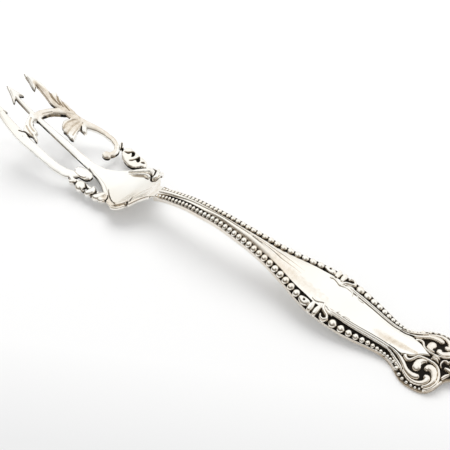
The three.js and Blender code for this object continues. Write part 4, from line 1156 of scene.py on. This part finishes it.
# Painted reflection: tan streak on the tongue, going on from the handle's streaks
terminal_map.tone([(-11.5, -1.9), (-8, -1.75), (-4.5, -1.5)], [1.2, 1.1, 0.6], 0.3)
# Painted shade on the terminal's near walls
terminal_map.under += terminal_wall_shade
pieces["terminal_relief"] = terminal_map.piece("terminal_relief", terminal_map.x - waist_x)
replaced["terminal_relief"] = "terminal"


# Clips


def draw_clip(relief, side):
    foot = -1.0

    def lay(points, widths, crown, level=-0.35, power=0.5):
        relief.ridge(mirrored(points, side), widths, crown, level, -foot, power)

    lay([(-34.9, 6.1), (-34.0, 6.15), (-33.2, 6.0)], [0.8, 1.05, 0.8], 0.75)
    lay([(-31.83, 5.2), (-31.88, 6.31), (-31.9, 7.35)], [0.55, 0.72, 0.6], 0.75)
    lay([(-30.1, 5.2), (-30.2, 6.4), (-30.27, 7.4)], [0.55, 0.7, 0.6], 0.75)
    lay([(-29.54, 3.57), (-29.2, 4.8), (-28.3, 5.65), (-27.2, 6.3), (-27.3, 7.3), (-28.4, 7.4),
         (-28.8, 6.8)],
        [0.3, 0.42, 0.42, 0.42, 0.42, 0.36, 0.28], 0.75)
    lay([(-32.57, 4.1), (-31.79, 4.3), (-30.88, 4.05), (-30.08, 3.66), (-29.5, 3.5)],
        [0.5, 0.4, 0.36, 0.3, 0.3], 0.55, -0.25)
    lay([(-29.25, 3.7), (-27.96, 4.3), (-26.8, 4.28), (-25.81, 3.7), (-25.53, 3.2)],
        [0.35, 0.5, 0.45, 0.3, 0.2], 0.5, -0.25)
    lay([(-26.4, 4.2), (-24.89, 4.15), (-24.08, 3.65), (-23.29, 3.35), (-22.3, 3.4)],
        [0.3, 0.3, 0.28, 0.24, 0.12], 0.42, -0.25)
    lay([(-28.6, 4.7), (-27.5, 5.1), (-26.4, 5.2)], [0.35, 0.34, 0.2], 0.5, -0.25)
    relief.ridge(mirrored([(-35.4, 6.2), (-32, 6.2), (-27.6, 6.4)], side), [0.7, 1.2, 0.9], 0.05, -0.7,
                 -foot)
    relief.groove(mirrored([(-32.7, 4.75), (-31.7, 4.85), (-30.7, 4.55), (-29.9, 4.15)], side), 0.2, 0.3, 1)
    relief.groove(mirrored([(-28.7, 4.3), (-27.8, 4.75), (-26.6, 4.75), (-25.6, 4.15)], side), 0.15, 0.25,
                  0.9)
    relief.groove(mirrored([(-34.1, 6.15)], side), 0.36, 0.5, 1)


for side, name in ((-1, "near_clip"), (1, "far_clip")):
    clip_map = Relief((-36.5, min(side * 2.5, side * 8)), (-21.5, max(side * 2.5, side * 8)), clip_cell)
    draw_clip(clip_map, side)
    clip_map.finish(roll=0.1, recess_reach=0.25, recess_gain=2.2)
    clip_map.blacken(below=-0.45, reach=0.12)
    pieces[name] = clip_map.piece(name)


# Materials


def new_group(name, inputs, outputs):
    """Shader node group with named inputs and outputs: (name, kind, value) and (name, kind)."""
    group = bpy.data.node_groups.new(name, "ShaderNodeTree")
    for label, kind, value in inputs:
        socket = group.interface.new_socket(label, in_out="INPUT", socket_type="NodeSocket" + kind)
        socket.default_value = value
    for label, kind in outputs:
        group.interface.new_socket(label, in_out="OUTPUT", socket_type="NodeSocket" + kind)
    return group, group.nodes.new("NodeGroupInput").outputs


def math_node(tree, operation, first, second, clamp=False):
    settings = {"operation": operation, "use_clamp": clamp}
    return add(tree, "ShaderNodeMath", {0: first, 1: second}, settings)[0]


def mix_colour(tree, factor, first, second):
    return add(tree, "ShaderNodeMix", {0: factor, 6: first, 7: second}, {"data_type": "RGBA"})[2]


def noise(tree, vector, scale, detail=2.0):
    return add(tree, "ShaderNodeTexNoise", {"Vector": vector, "Scale": scale, "Detail": detail})["Fac"]


def stretched(tree, vector, scale):
    return add(tree, "ShaderNodeMapping", {"Vector": vector, "Scale": scale})[0]


def span(tree, value, low, high, to_low=0.0, to_high=1.0):
    """Value brought from the span low to high to another one, and kept inside it."""
    ends = {"From Min": low, "From Max": high, "To Min": to_low, "To Max": to_high}
    return add(tree, "ShaderNodeMapRange", {"Value": value, **ends})["Result"]


def split(tree, vector):
    return add(tree, "ShaderNodeSeparateXYZ", {0: vector})


def tarnish_and_shade_group():
    """Black sulphide that stays in the recesses, with a brown halo round it, and the same black and brown
    for the painted shade and painted reflection: a mask, and the metal's colour with it.
    """
    group, given = new_group(
        "recess_tarnish_and_shade",
        [("Darkening", "Float", 0.0), ("Vector", "Vector", (0, 0, 0)),
         ("Silver", "Color", (0.9, 0.88, 0.84, 1)),
         ("Sulphide", "Color", (0.012, 0.009, 0.006, 1)), ("Warm", "Color", (0.64, 0.5, 0.34, 1)),
         ("Raggedness", "Float", 0.25)],
        [("Mask", "Float"), ("Color", "Color"), ("Roughness", "Float")],
    )
    ragged = math_node(group, "SUBTRACT", noise(group, given["Vector"], 900, 3), 0.5)
    shift = math_node(group, "MULTIPLY", ragged, given["Raggedness"])
    wavering = math_node(group, "ADD", given["Darkening"], shift)
    mask = span(group, wavering, 0.28, 0.82)
    halo = span(group, wavering, 0.08, 0.5)
    warm = mix_colour(group, halo, given["Silver"], given["Warm"])
    add(group, "NodeGroupOutput", {
        "Mask": mask, "Color": mix_colour(group, mask, warm, given["Sulphide"]),
        "Roughness": math_node(group, "MULTIPLY", mask, 0.45),
    })
    return group


def handling_group():
    """Fine scratches and rubbed patches of silver in use: a roughness to add, and a height."""
    group, given = new_group(
        "handling_marks",
        [("Vector", "Vector", (0, 0, 0)), ("Scratches", "Float", 1.0), ("Patches", "Float", 1.0)],
        [("Roughness", "Float"), ("Height", "Float")],
    )
    vector = given["Vector"]
    lengthways = noise(group, stretched(group, vector, (120, 2600, 900)), 1)
    crossways = noise(group, stretched(group, vector, (2300, 160, 900)), 1)
    lines = math_node(group, "ADD", span(group, lengthways, 0.6, 0.72), span(group, crossways, 0.63, 0.75))
    lines = math_node(group, "MULTIPLY", lines, given["Scratches"])
    rubbed = span(group, noise(group, vector, 70, 4), 0.35, 0.7)
    rubbed = math_node(group, "MULTIPLY", rubbed, given["Patches"])
    rough = [math_node(group, "MULTIPLY", marks, gain) for marks, gain in ((lines, 0.05), (rubbed, 0.07))]
    add(group, "NodeGroupOutput", {"Roughness": math_node(group, "ADD", *rough), "Height": lines})
    return group


def toning_group():
    """Slow drift between a cool and a warm white over the metal."""
    group, given = new_group(
        "silver_toning",
        [("Vector", "Vector", (0, 0, 0)), ("Cool", "Color", (0.9, 0.9, 0.9, 1)),
         ("Warm", "Color", (0.9, 0.8, 0.7, 1)), ("Scale", "Float", 60.0)],
        [("Color", "Color")],
    )
    share = span(group, noise(group, given["Vector"], given["Scale"]), 0.35, 0.68)
    add(group, "NodeGroupOutput", {"Color": mix_colour(group, share, given["Cool"], given["Warm"])})
    return group


effects = {"tarnish_and_shade": tarnish_and_shade_group(), "marks": handling_group(), "toning": toning_group()}
scratch_depth = 0.00001


def fresh_tree(holder):
    """Empty node tree of a material or of the world."""
    holder.use_nodes = True
    holder.node_tree.nodes.clear()
    return holder.node_tree


def silver(name, cool, warm, roughness, toning_scale, scratches, patches, bump):
    """Polished silver with toning, handling marks, tarnish in its recesses, and the painted shade and
    painted reflection of its attribute.
    """
    material = bpy.data.materials.new(name)
    tree = fresh_tree(material)
    place = add(tree, "ShaderNodeTexCoord")["Object"]
    # Tarnish in the recesses, with painted shade and painted reflection, all in one attribute
    darkening = add(tree, "ShaderNodeAttribute", settings={"attribute_name": "tarnish_and_shade"})["Fac"]

    def effect(label, sockets):
        return add(tree, "ShaderNodeGroup", {"Vector": place, **sockets}, {"node_tree": effects[label]})

    toning = effect("toning", {"Cool": cool + (1,), "Warm": warm + (1,), "Scale": toning_scale})
    marks = effect("marks", {"Scratches": scratches, "Patches": patches})
    tarnish_and_shade = effect("tarnish_and_shade", {"Darkening": darkening, "Silver": toning["Color"]})
    rough = math_node(tree, "ADD", marks["Roughness"], roughness)
    relief = {"Strength": bump, "Distance": scratch_depth, "Height": marks["Height"]}
    surface = add(tree, "ShaderNodeBsdfPrincipled", {
        "Base Color": tarnish_and_shade["Color"],
        "Roughness": math_node(tree, "ADD", rough, tarnish_and_shade["Roughness"], clamp=True),
        "Metallic": span(tree, tarnish_and_shade["Mask"], 0, 1, 1.0, 0.2),
        "Specular IOR Level": span(tree, tarnish_and_shade["Mask"], 0, 1, 0.5, 0.12),
        "Normal": add(tree, "ShaderNodeBump", relief)["Normal"],
    })
    add(tree, "ShaderNodeOutputMaterial", {"Surface": surface[0]})
    return material


plain_silver = silver("polished_silver", (0.95, 0.945, 0.92), (0.94, 0.905, 0.845), 0.14, 55, 0.4, 0.8,
                      0.08)
chased_silver = silver("chased_silver", (0.95, 0.945, 0.92), (0.93, 0.895, 0.83), 0.15, 130, 0.5, 0.7, 0.15)
bead_silver = silver("beaded_silver", (0.94, 0.93, 0.895), (0.91, 0.86, 0.78), 0.13, 160, 0.4, 0.6, 0.1)

bead_long_shares = [(0, 0.8), (0.2, 0.9), (0.4, 1), (0.6, 1.03), (1, 1.03)]
bead_wide_shares = [(0, 1), (0.04, 1.25), (0.2, 1.28), (0.4, 1.12), (0.6, 1.1), (1, 1.15)]
bead_end = waist_x * 0.62
bead_tilt_share = 0.7
# Beads on the edge of a whorl: x, y and radius of each
lobe_beads = [
    (-6.6, 7.0, 0.66), (-5.3, 8.05, 0.52), (-4.05, 8.65, 0.48), (-2.7, 9.0, 0.44), (-1.4, 9.15, 0.4),
    (-0.3, 9.12, 0.37), (0.7, 8.88, 0.33),
]
lobe_bead_sink = 0.55


def border_beads(name, side):
    x = np.concatenate([bead_places(neck_x, clip_start + 0.35), bead_places(clip_end + 0.2, bead_end)])
    bead, place = bead_size(x), handle_share(x)
    points = to_frame(x, side * bead_row_of(x), -bead_of(x) * along(bead_sink_shares, place))
    sizes = np.stack([bead * along(bead_long_shares, place), bead * along(bead_wide_shares, place), bead],
                     1)
    heading = side * np.arctan2(bead_row_of(x + 0.5) - bead_row_of(x - 0.5), 1)
    slope = 2 * crown_drop * along(row_drop_shares, place) / row_of(x)
    turns = np.stack([-side * np.arctan(slope) * bead_tilt_share, 0 * x, heading], 1)
    return grown(name, points, sizes * metre, turns, bead_silver)


def whorl_beads(name, side):
    x, y, radius = np.array(lobe_beads).T
    sizes = np.repeat(radius[:, None], 3, 1) * metre
    return grown(name, to_frame(x, side * y, 0 * x - lobe_bead_sink), sizes, 0 * sizes, bead_silver)


for row, laid in (("beads", border_beads), ("lobe_beads", whorl_beads)):
    for place, side in (("near", -1), ("far", 1)):
        name = f"{place}_{row}"
        pieces[name] = laid(name, side)

plain_pieces = (
    "terminal_relief", "bowl_relief", "centre_tine_relief", "left_tine_relief", "right_tine_relief",
    "panel_body", "shank_body", "right_bridge_relief",
)
for name, piece in pieces.items():
    plain = name in plain_pieces
    piece.data.materials.clear()
    if name.endswith("beads"):
        piece.data.materials.append(bead_silver)
    else:
        piece.data.materials.append(plain_silver if plain else chased_silver)
    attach(piece, "root")
    if name in replaced:
        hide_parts(replaced[name])


# Floor, light and camera

# Sizes and places in metres, turns in degrees
floor_half = 1.6
floor_level = -0.00005
# Span, in metres of half x less y, over which the table's colour darkens towards the near side as painted
# shade
near_shade = (0.062, 0.092)
lamp_target = (0.03, 0, 0)
lamp_place = (-0.22, 0.46, 0.78)
lamp_size = 0.85
lamp_power = 5.4
lamp_colour = (1.0, 0.998, 0.99)
camera_target = (0.032676, 0.006812, 0)
camera_reach = 0.30318
camera_height_turn = 47.3905
camera_side_turn = -54.9514
camera_roll = 1.3754
camera_lens = 90.4


def make_floor():
    """Pale table, which camera and mirror rays see as near white while it keeps the fork's shadow."""
    mesh = bpy.data.meshes.new("floor")
    corners = [(-1, -1), (1, -1), (1, 1), (-1, 1)]
    points = [(x * floor_half, y * floor_half, floor_level) for x, y in corners]
    mesh.from_pydata(points, [], [(0, 1, 2, 3)])
    material = bpy.data.materials.new("pale_table")
    tree = fresh_tree(material)
    rays = add(tree, "ShaderNodeLightPath")
    seen = math_node(tree, "MAXIMUM", rays["Is Camera Ray"], rays["Is Glossy Ray"])
    place = split(tree, add(tree, "ShaderNodeTexCoord")["Object"])
    # Painted shade: the table's colour darkens towards the near side
    nearness = math_node(tree, "SUBTRACT", math_node(tree, "MULTIPLY", place["X"], 0.5), place["Y"])
    shaded = span(tree, nearness, *near_shade)
    paper = add(tree, "ShaderNodeBsdfPrincipled", {
        "Base Color": mix_colour(tree, shaded, (0.9, 0.9, 0.9, 1), (0.79, 0.792, 0.795, 1)),
        "Roughness": 0.9, "Specular IOR Level": 0.0, "Emission Color": (1, 1, 1, 1),
        "Emission Strength": math_node(tree, "MULTIPLY", seen, 0.04),
    })
    add(tree, "ShaderNodeOutputMaterial", {"Surface": paper[0]})
    mesh.materials.append(material)
    in_scene("floor", mesh)


def make_world():
    """Pale studio: a white window behind, brown low down in front and at the right, white to the camera."""
    world = bpy.data.worlds.new("studio")
    tree = fresh_tree(world)
    way = split(tree, add(tree, "ShaderNodeTexCoord")["Generated"])
    right, back, up = way["X"], way["Y"], way["Z"]
    pale = mix_colour(tree, span(tree, up, -0.05, 0.6), (0.9, 0.88, 0.84, 1), (1.12, 1.12, 1.1, 1))
    right_front = math_node(tree, "MULTIPLY", span(tree, right, 0.05, 0.7), span(tree, back, 0.4, 0))
    upright = mix_colour(tree, right_front, pale, (0.4, 0.36, 0.31, 1))
    low_front = math_node(tree, "MULTIPLY", span(tree, back, 0.1, -0.55), span(tree, up, 0.9, 0.55))
    sky = mix_colour(tree, low_front, upright, (0.2, 0.17, 0.13, 1))
    rays = add(tree, "ShaderNodeLightPath")
    seen = mix_colour(tree, rays["Is Glossy Ray"], (0.66, 0.66, 0.66, 1), sky)
    colour = mix_colour(tree, rays["Is Camera Ray"], seen, (1, 1, 1, 1))
    background = add(tree, "ShaderNodeBackground", {"Strength": 1.0, "Color": colour})
    add(tree, "ShaderNodeOutputWorld", {"Surface": background[0]})
    bpy.context.scene.world = world


def facing(place, back, roll=0.0):
    """Matrix of a lamp or a camera at a place, with its back to a direction, rolled by degrees."""
    back = Vector(back).normalized()
    level = Vector((0, 0, 1)).cross(back).normalized()
    turned = Matrix.Rotation(math.radians(roll), 3, back)
    matrix = Matrix((turned @ level, turned @ back.cross(level), back)).transposed().to_4x4()
    matrix.translation = place
    return matrix


def make_lamp():
    """Round softbox that mirror rays pass by."""
    lamp = bpy.data.lights.new("key_softbox", "AREA")
    lamp.shape = "DISK"
    lamp.size = lamp_size
    lamp.energy = lamp_power
    lamp.color = lamp_colour
    holder = in_scene("key_softbox", lamp)
    holder.visible_glossy = False
    holder.matrix_world = facing(lamp_place, Vector(lamp_place) - Vector(lamp_target))


def make_camera():
    """The photograph's view, which looks down at the fork from its near right."""
    camera = bpy.data.cameras.new("camera")
    camera.lens = camera_lens
    camera.sensor_width = 36
    camera.clip_start = 0.01
    holder = in_scene("camera", camera)
    tall, turn = math.radians(camera_height_turn), math.radians(camera_side_turn)
    back = Vector((math.cos(tall) * math.cos(turn), math.cos(tall) * math.sin(turn), math.sin(tall)))
    holder.matrix_world = facing(Vector(camera_target) + camera_reach * back, back, camera_roll)
    bpy.context.scene.camera = holder


make_floor()
make_world()
make_lamp()
make_camera()
bpy.context.scene.view_settings.view_transform = "Standard"
